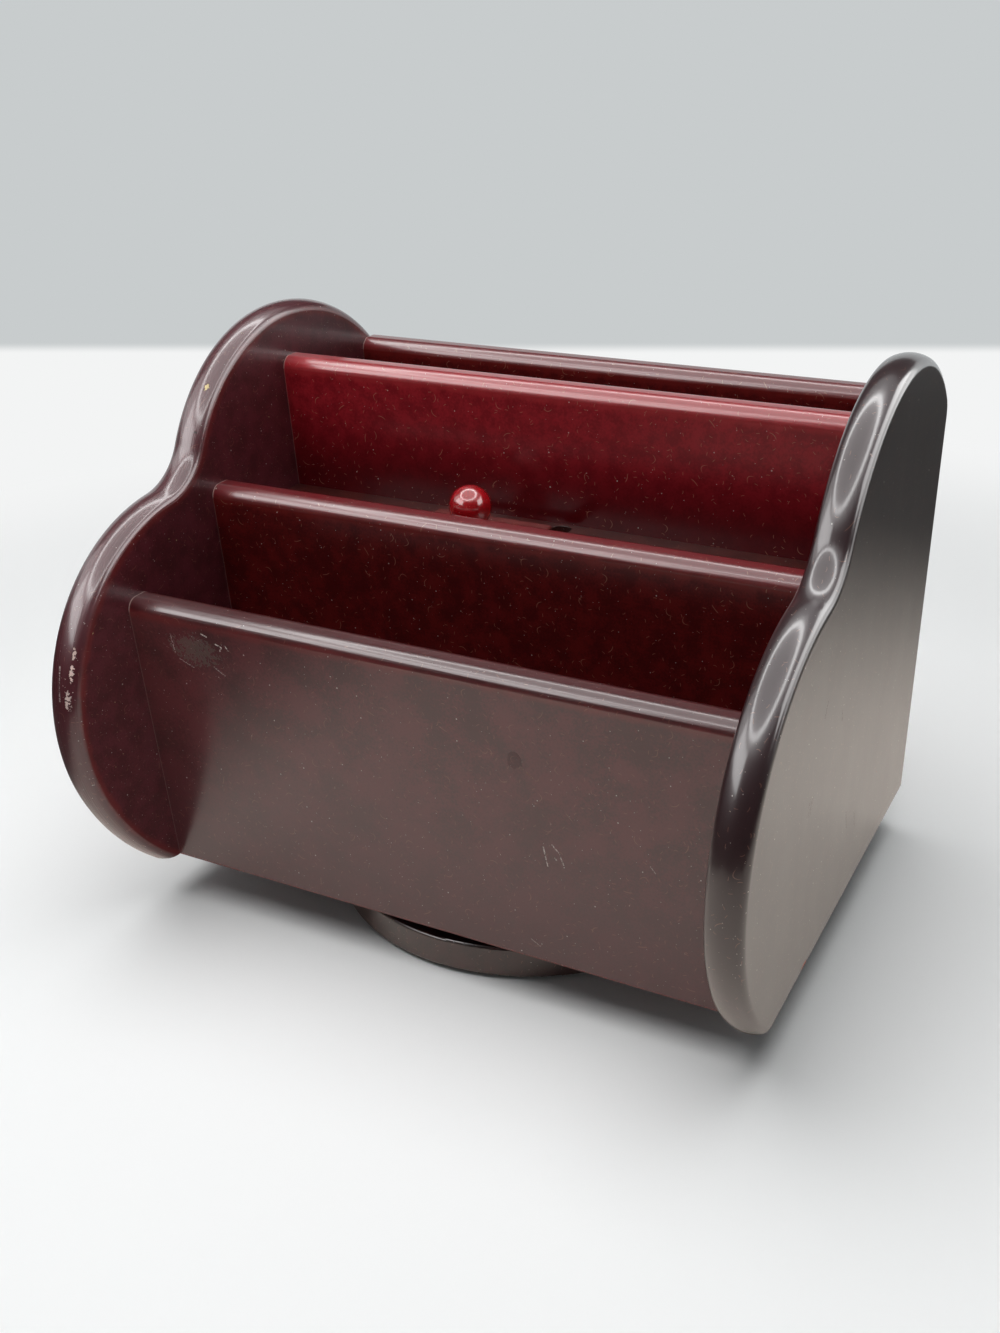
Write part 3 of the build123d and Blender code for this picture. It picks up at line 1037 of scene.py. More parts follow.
    def rings(self, thickness: float) -> list[Triple]:
        """List the rings of the panel from its inner face to its outer one.

        Args:
            thickness: The panel's thickness.

        Returns:
            Depth from the inner face, inset and edge attribute of each ring.
        """
        half = thickness / 2
        lean = math.asin((half - self.edge_round) / (self.crown_radius - self.edge_round))
        rise = self.crown_radius * (1 - math.cos(lean)) + self.edge_round * math.cos(lean)
        inner = [(0.0, rise + band, EDGE_REACH - band) for band in self.flat_bands]
        for step in range(self.edge_steps + 1):
            turn = (math.pi / 2 - lean) * step / self.edge_steps
            depth = self.edge_round * (1 - math.cos(turn))
            inset = rise - self.edge_round * math.sin(turn)
            inner.append((depth, inset, EDGE_REACH + self.edge_round * turn))
        start = inner[-1][2]
        for step in range(1, self.crown_steps + 1):
            turn = lean * (step / self.crown_steps - 1)
            inset = self.crown_radius * (1 - math.cos(turn))
            near = start + self.crown_radius * (turn + lean)
            inner.append((half + self.crown_radius * math.sin(turn), inset, near))
        return inner + [(thickness - depth, inset, near) for depth, inset, near in reversed(inner[:-1])]

    def panel_mesh(self, name: str, inner: float, outward: float, thickness: float) -> Mesh:
        """Loft a panel through its rings and close it.

        Args:
            name: The mesh's name.
            inner: X of the inner face, in millimetres.
            outward: 1 for the right panel and -1 for the left one.
            thickness: The panel's thickness.

        Returns:
            The mesh, with its edge attributes.
        """
        rings = self.rings(thickness)
        outlines = [self.outline(inset) for _, inset, _ in rings]

        def loft(work: Work) -> None:
            """Fill a bmesh with the panel.

            Args:
                work: The bmesh.
            """
            rows = []
            for (depth, _, _), points in zip(rings, outlines):
                x = (inner + outward * depth) * MM
                rows.append([work.verts.new((x, point.x * MM, point.y * MM)) for point in points])
            for lower, upper in zip(rows, rows[1:]):
                for place in range(len(lower) - 1):
                    work.faces.new((lower[place], lower[place + 1], upper[place + 1], upper[place]))
            work.faces.new(rows[0])
            work.faces.new(rows[-1])
            work.faces.new([row[0] for row in rows] + [row[-1] for row in reversed(rows)])

        mesh = shaped_mesh(name, loft)
        near = [ring[2] for ring, points in zip(rings, outlines) for _ in points]
        run = [self.arc_step * place for points in outlines for place in range(len(points))]
        mark_edges(mesh, near, run)
        mesh.set_sharp_from_angle(angle=math.radians(self.crease))
        return mesh


@dataclass
class CrossBoards:
    """The four upright boards between the panels, each with its top edges rounded over.

    Sizes are in millimetres; lengths and heights come from the frame.
    """

    finishes: dict[str, Lacquer]
    end_bevel: float = 0.15
    foot_round: float = 0.3
    nose_round: float = 5.5
    nose_steps: int = 12

    def build(self) -> None:
        """Build and dress each board."""
        for node, finish in self.finishes.items():
            material = finish.material()
            low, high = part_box(node)
            sizes = dict(zip(("Length", "Thickness", "Height"), high - low))
            sizes |= dict(zip(("Centre X", "Centre Y", "Centre Z"), (low + high) / 2))
            sizes |= {"Nose Round": self.nose_round * MM, "Foot Round": self.foot_round * MM}
            piece = grown(f"{node}_lacquered", (), self.board_tree(material, list(sizes)), sizes)
            settle(piece, self.end_bevel)
            self.mark_nose(piece.data, high.z / MM - self.nose_round)
            add_piece(piece, material, Body.CAROUSEL, Slot.BOARD, node)

    def board_tree(self, material: Material, names: Sequence[str]) -> Tree:
        """Build the geometry tree: a rectangle with rounded top corners, swept along X.

        Args:
            material: The board's material.
            names: The tree's inputs.

        Returns:
            The tree.
        """
        tree, given = geometry_tree("rounded_board", names)
        inputs = {"Width": given["Thickness"], "Height": given["Height"]}
        profile = add_node(tree, "GeometryNodeCurvePrimitiveQuadrilateral", inputs, mode="RECTANGLE")
        index = add_node(tree, "GeometryNodeInputIndex")
        is_foot = add_node(tree, "FunctionNodeCompare", (index, 1), data_type="INT", operation="LESS_EQUAL")
        inputs = {"Switch": is_foot, "False": given["Nose Round"], "True": given["Foot Round"]}
        radius = add_node(tree, "GeometryNodeSwitch", inputs, input_type="FLOAT")
        inputs = {"Curve": profile, "Count": self.nose_steps, "Radius": radius}
        rounded = add_node(tree, "GeometryNodeFilletCurve", inputs, mode="POLY")
        swept = swept_along_x(tree, rounded, given["Length"])
        centre = add_node(tree, Kind.JOIN, (given["Centre X"], given["Centre Y"], given["Centre Z"]))
        end_tree(tree, add_node(tree, Kind.MOVE, {"Geometry": swept, "Translation": centre}), material)
        return tree

    def mark_nose(self, mesh: Mesh, shoulder: float) -> None:
        """Write the edge attributes of a board.

        Args:
            mesh: The board's mesh.
            shoulder: Height where the rounding begins.
        """
        near = []
        for vert in mesh.vertices:
            rise = vert.co.z / MM - shoulder
            arc = self.nose_round * math.asin(min(1.0, rise / self.nose_round)) if rise > 0 else rise
            near.append(EDGE_REACH + arc)
        mark_edges(mesh, near, [vert.co.x / MM for vert in mesh.vertices])


@dataclass
class InnerBoards:
    """Floor, pen shelf and the well under the lid: plain boards with softened edges, in millimetres."""

    finish: Lacquer
    bevel: float = 0.3
    nodes: tuple[str, ...] = ("floor_panel", "pen_shelf", "well_left_wall", "well_right_wall", "well_floor")

    def build(self) -> None:
        """Build and dress each board."""
        material = self.finish.material()
        for node in self.nodes:
            add_copy(node, "lacquered", self.bevel, material, Body.CAROUSEL, Slot.BOARD)


def lathe(profile: Sequence[tuple[float, float]], centre: Vector, segments: int) -> Callable[[Work], None]:
    """Give a shape turned about an upright axis.

    Args:
        profile: Radius and height of each ring in millimetres; a radius of zero is a pole.
        centre: Foot of the axis, in metres.
        segments: Number of sides.

    Returns:
        What fills a bmesh with the shape.
    """

    def turn(work: Work) -> None:
        """Fill a bmesh with the turned shape.

        Args:
            work: The bmesh.
        """
        rows = []
        for radius, height in profile:
            row = []
            for step in range(segments if radius > 0 else 1):
                angle = math.tau * step / segments
                offset = Vector((radius * math.cos(angle), radius * math.sin(angle), height)) * MM
                row.append(work.verts.new(centre + offset))
            rows.append(row)
        for lower, upper in zip(rows, rows[1:]):
            for step in range(segments):
                after = (step + 1) % segments
                corners = [lower[step % len(lower)], lower[after % len(lower)]]
                corners += [upper[after % len(upper)], upper[step % len(upper)]]
                work.faces.new(list(dict.fromkeys(corners)))

    return turn


@dataclass
class Lid:
    """The loose lid: a thin plate with rounded edges, a cleat under it and a ball knob, in millimetres."""

    plate_finish: Lacquer
    knob_finish: Lacquer
    cleat_finish: Lacquer
    corner_round: float = 2.0
    corner_steps: int = 6
    edge_round: float = 1.0
    edge_steps: int = 5
    cleat_bevel: float = 0.3
    knob_radius: float = 9.2
    neck_radius: float = 4.0
    neck_fillet: float = 0.3
    knob_steps: int = 40
    knob_segments: int = 72

    def build(self) -> None:
        """Build and dress the plate, the cleat and the knob."""
        plate = mesh_object("lid_plate_lacquered", shaped_mesh("lid_plate", self.plate))
        settle(plate)
        add_piece(plate, self.plate_finish.material(), Body.LID, Slot.BOARD, "lid_plate")
        cleat_material = self.cleat_finish.material()
        add_copy("lid_cleat", "lacquered", self.cleat_bevel, cleat_material, Body.LID, Slot.BOARD)
        low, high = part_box("lid_knob")
        foot = Vector(((low.x + high.x) / 2, (low.y + high.y) / 2, low.z))
        shape = lathe(self.knob_profile((high.z - low.z) / MM), foot, self.knob_segments)
        knob = mesh_object("lid_knob_lacquered", shaped_mesh("lid_knob", shape))
        settle(knob)
        add_piece(knob, self.knob_finish.material(), Body.LID, Slot.KNOB, "lid_knob")

    def plate(self, work: Work) -> None:
        """Fill a bmesh with the lid plate.

        Args:
            work: The bmesh.
        """
        low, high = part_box("lid_plate")
        size = Matrix.Diagonal((*(high - low), 1.0))
        bmesh.ops.create_cube(work, size=1.0, matrix=Matrix.Translation((low + high) / 2) @ size)
        upright = [edge for edge in work.edges if abs(edge.verts[0].co.z - edge.verts[1].co.z) > MM]
        self.round_over(work, upright, self.corner_round, self.corner_steps)
        top = [edge for edge in work.edges if all(abs(vert.co.z - high.z) < 0.01 * MM for vert in edge.verts)]
        self.round_over(work, top, self.edge_round, self.edge_steps)

    def round_over(self, work: Work, edges: list[bmesh.types.BMEdge], radius: float, steps: int) -> None:
        """Round some edges of a bmesh."""
        bmesh.ops.bevel(work, geom=edges, offset=radius * MM, segments=steps, profile=0.5, affect="EDGES")

    def knob_profile(self, height: float) -> list[tuple[float, float]]:
        """Work out the knob's profile, from the foot of its neck to its top.

        Args:
            height: Overall height of the knob.

        Returns:
            Radius and height of each ring.
        """
        middle = height - self.knob_radius
        profile = [(0.0, 0.0), (self.neck_radius, 0.0)]
        start = math.asin((self.neck_radius + self.neck_fillet) / self.knob_radius)
        for step in range(self.knob_steps + 1):
            turn = start + (math.pi - start) * step / self.knob_steps
            profile.append((self.knob_radius * math.sin(turn), middle - self.knob_radius * math.cos(turn)))
        profile[-1] = (0.0, height)
        return profile


@dataclass
class Fixings:
    """Screws and dowels, each kind grown by one geometry tree on the frame's places, in millimetres."""

    screw_finish: BareFinish
    dowel_finish: BareFinish
    head_radius: float = 3.3
    head_depth: float = 1.6
    head_sides: int = 32
    shank_radius: float = 1.45
    shank_sides: int = 24
    tip: float = 2.5
    recess_length: float = 3.6
    recess_width: float = 0.8
    recess_depth: float = 0.9
    thread_pitch: float = 1.4
    thread_depth: float = 0.25
    thread_steps: int = 20
    dowel_radius: float = 2.5
    flute_depth: float = 0.18
    flutes: int = 18

    def build(self) -> None:
        """Grow every group of screws and the dowels."""
        zinc = self.screw_finish.material()
        for node, body, upward in (
            ("divider_screws", Body.CAROUSEL, True),
            ("top_ring_screws", Body.CAROUSEL, True),
            ("bottom_ring_screws", Body.BASE, False),
            ("knob_screw", Body.LID, True),
        ):
            boxes = separate_boxes(node)
            heads = []
            for low, high in boxes:
                top = low.z if upward else high.z
                heads.append(Vector(((low.x + high.x) / 2, (low.y + high.y) / 2, top)))
            sizes = {"Length": boxes[0][1].z - boxes[0][0].z, "Turn": math.pi if upward else 0.0}
            screws = grown(f"{node}_zinc", heads, self.screw_tree(zinc), sizes)
            settle(screws)
            add_piece(screws, zinc, body, Slot.SCREW, node)
        beech = self.dowel_finish.material()
        boxes = separate_boxes("panel_dowels")
        sizes = {"Length": boxes[0][1].x - boxes[0][0].x}
        middles = [(low + high) / 2 for low, high in boxes]
        dowels = grown("panel_dowels_beech", middles, self.dowel_tree(beech), sizes)
        settle(dowels)
        add_piece(dowels, beech, Body.CAROUSEL, Slot.DOWEL, "panel_dowels")

    def moved(self, tree: Tree, geometry: Link, height: Link) -> Node:
        """Add a move of some geometry along Z, and give the result."""
        lift = add_node(tree, Kind.JOIN, {"Z": height})
        return add_node(tree, Kind.MOVE, {"Geometry": geometry, "Translation": lift})

    def head(self, tree: Tree) -> Node:
        """Add a countersunk head with a cross recess, its top at the origin.

        Args:
            tree: The screws' tree.

        Returns:
            The head.
        """
        inputs = {"Vertices": self.head_sides, "Radius Top": self.head_radius * MM}
        inputs |= {"Radius Bottom": self.shank_radius * MM, "Depth": self.head_depth * MM}
        cone = add_node(tree, Kind.CONE, inputs)
        sunk = add_node(tree, Kind.MOVE, {"Geometry": cone, "Translation": (0, 0, -self.head_depth * MM)})
        depth = 2 * self.recess_depth * MM
        bar = (self.recess_length * MM, self.recess_width * MM)
        bars = [add_node(tree, "GeometryNodeMeshCube", {"Size": (*side, depth)}) for side in (bar, bar[::-1])]
        inputs = {"Mesh 1": sunk, "Mesh 2": bars}
        return add_node(tree, "GeometryNodeMeshBoolean", inputs, operation="DIFFERENCE", solver="EXACT")

    def screw_tree(self, material: Material) -> Tree:
        """Build the tree of a countersunk screw with a cross recess and a thread, instanced on points.

        Args:
            material: The screws' material.

        Returns:
            The tree.
        """
        tree, given = geometry_tree("countersunk_screws", ("Length", "Turn"))
        length = given["Length"]
        radius = self.shank_radius * MM
        shaft = add_node(tree, Kind.MATH, (length, (self.head_depth + self.tip) * MM), operation="SUBTRACT")
        inputs = {"Vertices": self.shank_sides, "Radius": radius, "Depth": shaft}
        shank = add_node(tree, "GeometryNodeMeshCylinder", inputs)
        drop = add_node(tree, Kind.MATH, (shaft, -0.5, -self.head_depth * MM), operation="MULTIPLY_ADD")
        inputs = {"Vertices": self.shank_sides, "Radius Top": radius, "Radius Bottom": 0.0}
        point = add_node(tree, Kind.CONE, inputs | {"Depth": self.tip * MM})
        foot = add_node(tree, Kind.MATH, (length, -1.0), operation="MULTIPLY")
        turns = add_node(tree, Kind.MATH, (shaft, self.thread_pitch * MM), operation="DIVIDE")
        inputs = {"Resolution": self.thread_steps, "Rotations": turns, "Start Radius": radius}
        spiral = add_node(tree, "GeometryNodeCurveSpiral", inputs | {"End Radius": radius, "Height": shaft})
        inputs = {"Resolution": 4, "Radius": self.thread_depth * MM}
        tooth = add_node(tree, "GeometryNodeCurvePrimitiveCircle", inputs)
        thread = add_node(tree, Kind.SWEEP, {"Curve": spiral, "Profile Curve": tooth, "Fill Caps": True})
        root = add_node(tree, Kind.MATH, (length, -1.0, self.tip * MM), operation="MULTIPLY_ADD")
        lowered = [self.moved(tree, *pair) for pair in ((shank, drop), (point, foot), (thread, root))]
        screw = add_node(tree, "GeometryNodeJoinGeometry", {"Geometry": [self.head(tree), *lowered]})
        flip = add_node(tree, Kind.JOIN, {"X": given["Turn"]})
        end_on_points(tree, given["Geometry"], {"Instance": screw, "Rotation": flip}, material)
        return tree

    def dowel_tree(self, material: Material) -> Tree:
        """Build the tree of a fluted dowel along X, instanced on points.

        Args:
            material: The dowels' material.

        Returns:
            The tree.
        """
        tree, given = geometry_tree("fluted_dowels", ("Length",))
        inputs = {"Points": self.flutes, "Inner Radius": (self.dowel_radius - self.flute_depth) * MM}
        star = add_node(tree, "GeometryNodeCurveStar", inputs | {"Outer Radius": self.dowel_radius * MM})
        dowel = swept_along_x(tree, star, given["Length"])
        end_on_points(tree, given["Geometry"], {"Instance": dowel}, material)
        return tree


@dataclass
class Turntable:
    """The turntable's two rings, its balls and their cage."""

    ring_finish: BareFinish
    ball_finish: BareFinish
    cage_finish: BareFinish
    ball_detail: int = 3

    def build(self) -> None:
        """Build and dress the rings, the cage and the balls."""
        rings = self.ring_finish.material()
        for node, body in (("turntable_bottom_ring", Body.BASE), ("turntable_top_ring", Body.CAROUSEL)):
            add_copy(node, "turned", 0.0, rings, body, Slot.RING)
        add_copy("ball_cage", "nylon", 0.0, self.cage_finish.material(), Body.CAGE, Slot.CAGE)
        steel = self.ball_finish.material()
        boxes = separate_boxes("bearing_balls")
        middles = [(low + high) / 2 for low, high in boxes]
        sizes = {"Radius": (boxes[0][1].z - boxes[0][0].z) / 2}
        balls = grown("bearing_balls_polished", middles, self.ball_tree(steel), sizes)
        settle(balls)
        add_piece(balls, steel, Body.CAGE, Slot.BALL, "bearing_balls")

    def ball_tree(self, material: Material) -> Tree:
        """Build the tree of a ball, instanced on points.

        Args:
            material: The balls' material.

        Returns:
            The tree.
        """
        tree, given = geometry_tree("bearing_balls", ("Radius",))
        inputs = {"Radius": given["Radius"], "Subdivisions": self.ball_detail}
        ball = add_node(tree, "GeometryNodeMeshIcoSphere", inputs)
        end_on_points(tree, given["Geometry"], {"Instance": ball}, material)
        return tree


@dataclass
class Base:
    """The round base and the felt under it."""

    disc_finish: Lacquer
    felt_finish: BareFinish
    felt_bevel: float = 0.4

    def build(self) -> None:
        """Build and dress the disc and the felt."""
        add_copy("base_disc", "lacquered", 0.0, self.disc_finish.material(), Body.BASE, Slot.BOARD)
        add_copy("base_felt", "pressed", self.felt_bevel, self.felt_finish.material(), Body.BASE, Slot.FELT)


@dataclass(frozen=True)
class Card:
    """An upright card round the object: its angles in degrees, heights in metres and how bright it looks."""

    arc: tuple[float, float]
    low: float
    high: float
    radiance: float = 0.0


@dataclass(frozen=True)
class LampRing:
    """A flat ring of an overhead lamp: its radii in metres and how bright it looks beside white."""

    inner: float
    outer: float
    radiance: float


@dataclass
class Studio:
    """Plain pale floor and wall, soft lights and the camera. Lengths are in metres, angles in degrees."""

    image_width: float = 1000.0
    image_height: float = 1333.0
    focal_pixels: float = 1322.2
    axis_pixel_x: float = 589.0
    axis_pixel_y: float = 788.8
    sensor: float = 36.0
    camera_place: Triple = (0.2580, -0.4699, 0.3626)
    camera_yaw: float = 26.245
    camera_pitch: float = 31.224
    camera_roll: float = 1.072
    floor_size: float = 30.0
    wall_distance: float = 1.03
    wall_turn: float = 21.6
    wall_size: float = 12.0
    floor_colour: str = "F3F4F4"
    floor_far: tuple[float, float] = (0.75, 0.35)
    mirror_colour: str = "F3E7DC"
    mirror_dark: str = "2E2B29"
    mirror_fade: tuple[float, float] = (0.05, 0.55)
    mirror_left: tuple[float, float] = (-0.15, -0.3)
    wall_foot: tuple[float, float] = (0.0, 0.014)
    wall_colour: str = "C8CCCD"
    flag_colour: str = "0B0B0C"
    matte_roughness: float = 0.7
    matte_gloss: float = 0.2
    card_radius: float = 0.95
    card_step: float = 8.0
    flags: tuple[Card, ...] = (
        Card(arc=(-180.0, 8.0), low=0.0, high=0.46),
        Card(arc=(-106.0, -12.0), low=0.46, high=1.05),
        Card(arc=(-156.0, -106.0), low=0.46, high=0.56),
        Card(arc=(62.0, 180.0), low=0.5, high=1.05),
    )
    windows: tuple[Card, ...] = (
        Card(arc=(-180.0, -156.0), low=0.46, high=1.05, radiance=1.6),
        Card(arc=(-156.0, -106.0), low=0.56, high=1.05, radiance=5.2),
        Card(arc=(8.0, 62.0), low=0.12, high=0.5, radiance=2.4),
        Card(arc=(-12.0, 62.0), low=0.5, high=1.05, radiance=5.0),
    )
    sky_colour: str = "C8CCCD"
    sky_light: float = 0.21
    lamp_middle: Triple = (-0.096, -0.124, 1.05)
    lamp: LampRing = LampRing(inner=0.0, outer=0.64, radiance=3.5)
    mirrored_rings: tuple[LampRing, ...] = (
        LampRing(inner=0.0, outer=0.53, radiance=1.6),
        LampRing(inner=0.53, outer=0.64, radiance=9.0),
        LampRing(inner=0.64, outer=0.72, radiance=1.5),
    )
    lamp_sides: int = 96

    def build(self) -> None:
        """Build the stage, the lights and the camera."""
        self.add_floor()
        self.add_wall()
        self.add_flags()
        self.add_lights()
        self.add_sky()
        self.add_camera()
        bpy.context.scene.view_settings.view_transform = "Standard"

    def seen(self, tree: Tree) -> Node:
        """Add a switch that is one for camera, glossy and transmitted rays.

        Args:
            tree: A stage material's or the world's tree.

        Returns:
            A float.
        """
        path = add_node(tree, Kind.PATH).outputs
        inputs = (path["Is Camera Ray"], path["Is Glossy Ray"])
        mirrored = add_node(tree, Kind.MATH, inputs, operation="MAXIMUM")
        return add_node(tree, Kind.MATH, (mirrored, path["Is Transmission Ray"]), operation="MAXIMUM")

    def add_sky(self) -> None:
        """Add a pale world, dimmer as a light than as a background."""
        world = bpy.data.worlds.new("pale_room")
        bpy.context.scene.world = world
        world.use_nodes = True
        tree = world.node_tree
        inputs = {"Value": self.seen(tree), "To Min": self.sky_light, "To Max": 1.0}
        strength = add_node(tree, Kind.RANGE, inputs)
        set_shader(tree, tree.nodes["Background"], {"Color": linear(self.sky_colour), "Strength": strength})

    def matte(self, name: str, colour: str, see_through_back: bool = False) -> Material:
        """Make a matte stage material.

        Args:
            name: The material's name.
            colour: Its sRGB hex colour.
            see_through_back: Whether it can be looked through from behind.

        Returns:
            The material.
        """
        material, tree, shader = new_material(name)
        look = {"Base Color": linear(colour), "Roughness": self.matte_roughness}
        set_shader(tree, shader, look | {"Specular IOR Level": self.matte_gloss})
        if see_through_back:
            back = add_node(tree, "ShaderNodeNewGeometry").outputs["Backfacing"]
            mixed = add_node(tree, Kind.BLEND, (back, shader, add_node(tree, "ShaderNodeBsdfTransparent")))
            feed(tree, mixed, tree.nodes["Material Output"].inputs["Surface"])
        return material

    def sheet(self, name: str, corners: Sequence[Triple], material: Material) -> None:
        """Add a flat sheet to the stage.

        Args:
            name: The sheet's name.
            corners: Its corners in order.
            material: Its material.
        """
        mesh = bpy.data.meshes.new(name)
        mesh.from_pydata(list(corners), [], [tuple(range(len(corners)))])
        mesh.materials.append(material)
        mesh_object(name, mesh)

    def add_floor(self) -> None:
        """Add the floor, which can be looked through from below and is partly dark in reflections."""
        half = self.floor_size / 2
        corners = [(-half, -half, 0.0), (half, -half, 0.0), (half, half, 0.0), (-half, half, 0.0)]
        material = self.matte("pale_matte_floor", self.floor_colour, True)
        tree = material.node_tree
        path = add_node(tree, Kind.PATH).outputs
        place = add_node(tree, Kind.COORDS).outputs["Object"]
        point = add_node(tree, Kind.SPLIT, (place,)).outputs
        inputs = (fade(tree, point["Y"], *self.mirror_fade), fade(tree, point["X"], *self.mirror_left))
        pale = add_node(tree, Kind.MATH, inputs, operation="MULTIPLY")
        inputs = (pale, linear(self.mirror_dark), linear(self.mirror_colour))
        mirrored = add_node(tree, Kind.MIX, inputs, data_type="RGBA")
        inputs = (path["Is Glossy Ray"], linear(self.floor_colour), mirrored)
        colour = add_node(tree, Kind.MIX, inputs, data_type="RGBA")
        set_shader(tree, tree.nodes["Principled BSDF"], {"Base Color": colour})
        distance = add_node(tree, Kind.VECTOR, (place,), operation="LENGTH")
        inputs = (fade(tree, distance, *self.floor_far), path["Is Camera Ray"])
        self.glow(tree, add_node(tree, Kind.MATH, inputs, operation="MULTIPLY"), linear(self.floor_colour))
        self.sheet("studio_floor", corners, material)

    def glow(self, tree: Tree, share: Link, colour: Link | Colour) -> None:
        """Let a stage material look as bright as its colour is written.

        Args:
            tree: The material's tree, made with a see-through back.
            share: How much of it glows.
            colour: The colour.
        """
        light = add_node(tree, Kind.GLOW, {"Color": colour})
        mixed = add_node(tree, Kind.BLEND, (share, tree.nodes["Principled BSDF"], light))
        feed(tree, mixed, tree.nodes["Mix Shader"].inputs["Shader"])

    def add_wall(self) -> None:
        """Add the wall behind the object, as bright to the eye as its colour is written."""
        turn = math.radians(self.wall_turn)
        along = Vector((math.cos(turn), math.sin(turn), 0.0)) * self.wall_size / 2
        middle = Vector((-math.sin(turn), math.cos(turn), 0.0)) * self.wall_distance
        up = Vector((0.0, 0.0, self.wall_size / 2))
        corners = (middle - along, middle + along, middle + along + up, middle - along + up)
        material = self.matte("pale_grey_wall", self.wall_colour, True)
        tree = material.node_tree
        place = add_node(tree, Kind.COORDS).outputs["Object"]
        height = add_node(tree, Kind.SPLIT, (place,)).outputs["Z"]
        inputs = (fade(tree, height, *self.wall_foot), linear(self.wall_colour), linear(self.floor_colour))
        self.glow(tree, self.seen(tree), add_node(tree, Kind.MIX, inputs, data_type="RGBA"))
        self.sheet("studio_wall", [tuple(corner) for corner in corners], material)

    def add_flags(self) -> None:
        """Add dark cloth outside the view, for the lacquer to reflect; it takes no light away."""
        cloth = self.matte("black_studio_cloth", self.flag_colour)
        for index, card in enumerate(self.flags):
            self.standing(f"studio_flag_{index}", card, cloth)

    def standing(self, name: str, card: Card, material: Material) -> None:
        """Stand a bent card round the object, for reflections only.

        Args:
            name: The card's name.
            card: Its angles and heights.
            material: Its material.
        """
        start, end = (math.radians(angle) for angle in card.arc)
        count = max(2, round((card.arc[1] - card.arc[0]) / self.card_step))

        def bend(work: Work) -> None:
            """Fill a bmesh with the card.

            Args:
                work: The bmesh.
            """
            turns = [start + (end - start) * step / count for step in range(count + 1)]
            feet = [(self.card_radius * math.cos(turn), self.card_radius * math.sin(turn)) for turn in turns]
            low = [work.verts.new((*foot, card.low)) for foot in feet]
            high = [work.verts.new((*foot, card.high)) for foot in feet]
            for place in range(count):
                work.faces.new((low[place], low[place + 1], high[place + 1], high[place]))

        self.unseen(name, shaped_mesh(name, bend), material).visible_diffuse = False

    def add_lights(self) -> None:
        """Add a wide overhead lamp, and the windows and bright-rimmed lamp that the lacquer mirrors."""
        self.overhead("studio_lamp", self.lamp).visible_glossy = False
        for index, ring in enumerate(self.mirrored_rings):
            self.overhead(f"mirrored_lamp_{index}", ring).visible_diffuse = False
        for index, card in enumerate(self.windows):
            self.standing(f"mirrored_window_{index}", card, self.lit(f"window_glow_{index}", card.radiance))

    def overhead(self, name: str, ring: LampRing) -> Piece:
        """Hang a flat glowing ring over the object.

        Args:
            name: The lamp's name.
            ring: Its radii and brightness.

        Returns:
            The lamp.
        """
        profile = ((ring.inner / MM, 0.0), (ring.outer / MM, 0.0))
        mesh = shaped_mesh(name, lathe(profile, Vector(self.lamp_middle), self.lamp_sides))
        return self.unseen(name, mesh, self.lit(f"{name}_glow", ring.radiance))

    def lit(self, name: str, radiance: float) -> Material:
        """Make a white material that gives light.

        Args:
            name: The material's name.
            radiance: How bright it looks beside white.

        Returns:
            The material.
        """
        material, tree, _ = new_material(name)
        light = add_node(tree, Kind.GLOW, {"Color": linear("FFFFFF"), "Strength": radiance})
        feed(tree, light, tree.nodes["Material Output"].inputs["Surface"])
        return material

    def unseen(self, name: str, mesh: Mesh, material: Material) -> Piece:
        """Add a lamp or card to the stage, out of the camera's sight and without a shadow.

        Args:
            name: Its name.
            mesh: Its mesh.
            material: Its material.

        Returns:
            The lamp or card.
        """
        mesh.materials.append(material)
        piece = mesh_object(name, mesh)
        piece.visible_camera = False
        piece.visible_shadow = False
        return piece

    def add_camera(self) -> None:
        """Add the camera at the photograph's place, turned and shifted as it was."""
        turns = (self.camera_yaw, self.camera_pitch, self.camera_roll)
        yaw, pitch, roll = (math.radians(turn) for turn in turns)
        back = Vector((math.sin(yaw) * math.cos(pitch), -math.cos(yaw) * math.cos(pitch), math.sin(pitch)))
        level = Vector((math.cos(yaw), math.sin(yaw), 0.0))
        down = (-back).cross(level)
        right = level * math.cos(roll) + down * math.sin(roll)
        up = level * math.sin(roll) - down * math.cos(roll)
        data = bpy.data.cameras.new("photograph_view")
        data.sensor_width = self.sensor
        data.lens = self.focal_pixels / self.image_height * self.sensor
        data.shift_x = (self.image_width / 2 - self.axis_pixel_x) / self.image_height
        data.shift_y = (self.axis_pixel_y - self.image_height / 2) / self.image_height
        camera = bpy.data.objects.new("photograph_view", data)
        turned = Matrix((right, up, back)).transposed().to_4x4()
        camera.matrix_world = Matrix.Translation(self.camera_place) @ turned
        bpy.context.scene.collection.objects.link(camera)
        bpy.context.scene.camera = camera


# Wear is placed in the rack's frame, in millimetres.
RIGHT_X = 150.0
FRONT_Y = -99.2
BOARD_END = 135.0
TICK = "120A09"
RUBBED = "8A3A34"
RIM_CHIPS = (
    ChipCluster((-137.7, -132.8, 131.5), reach=(1.7, 3.5, 7.0), grain=1.3, cover=0.36, colour="E0C4BA"),
    ChipCluster((-137.6, -129.1, 138.8), reach=(1.2, 3.0, 4.5), grain=0.9, cover=0.3, colour="D2B8AE"),
    ChipCluster((-138.8, -136.5, 121.2), reach=(2.8, 3.5, 8.0), grain=1.2, cover=0.28, colour="CDB4AC"),
    ChipCluster((-142.0, -140.2, 75.0), reach=(2.5, 2.0, 3.0), grain=1.5, cover=0.36, colour="C9A79A"),
    ChipCluster((-139.5, -26.8, 220.0), reach=(2.0, 4.5, 4.5), grain=1.4, cover=0.34, colour="DCC690"),
    ChipCluster((-138.0, -36.2, 200.5), reach=(4.0, 6.0, 7.0), grain=1.5, cover=0.24, colour="4E4644"),
)
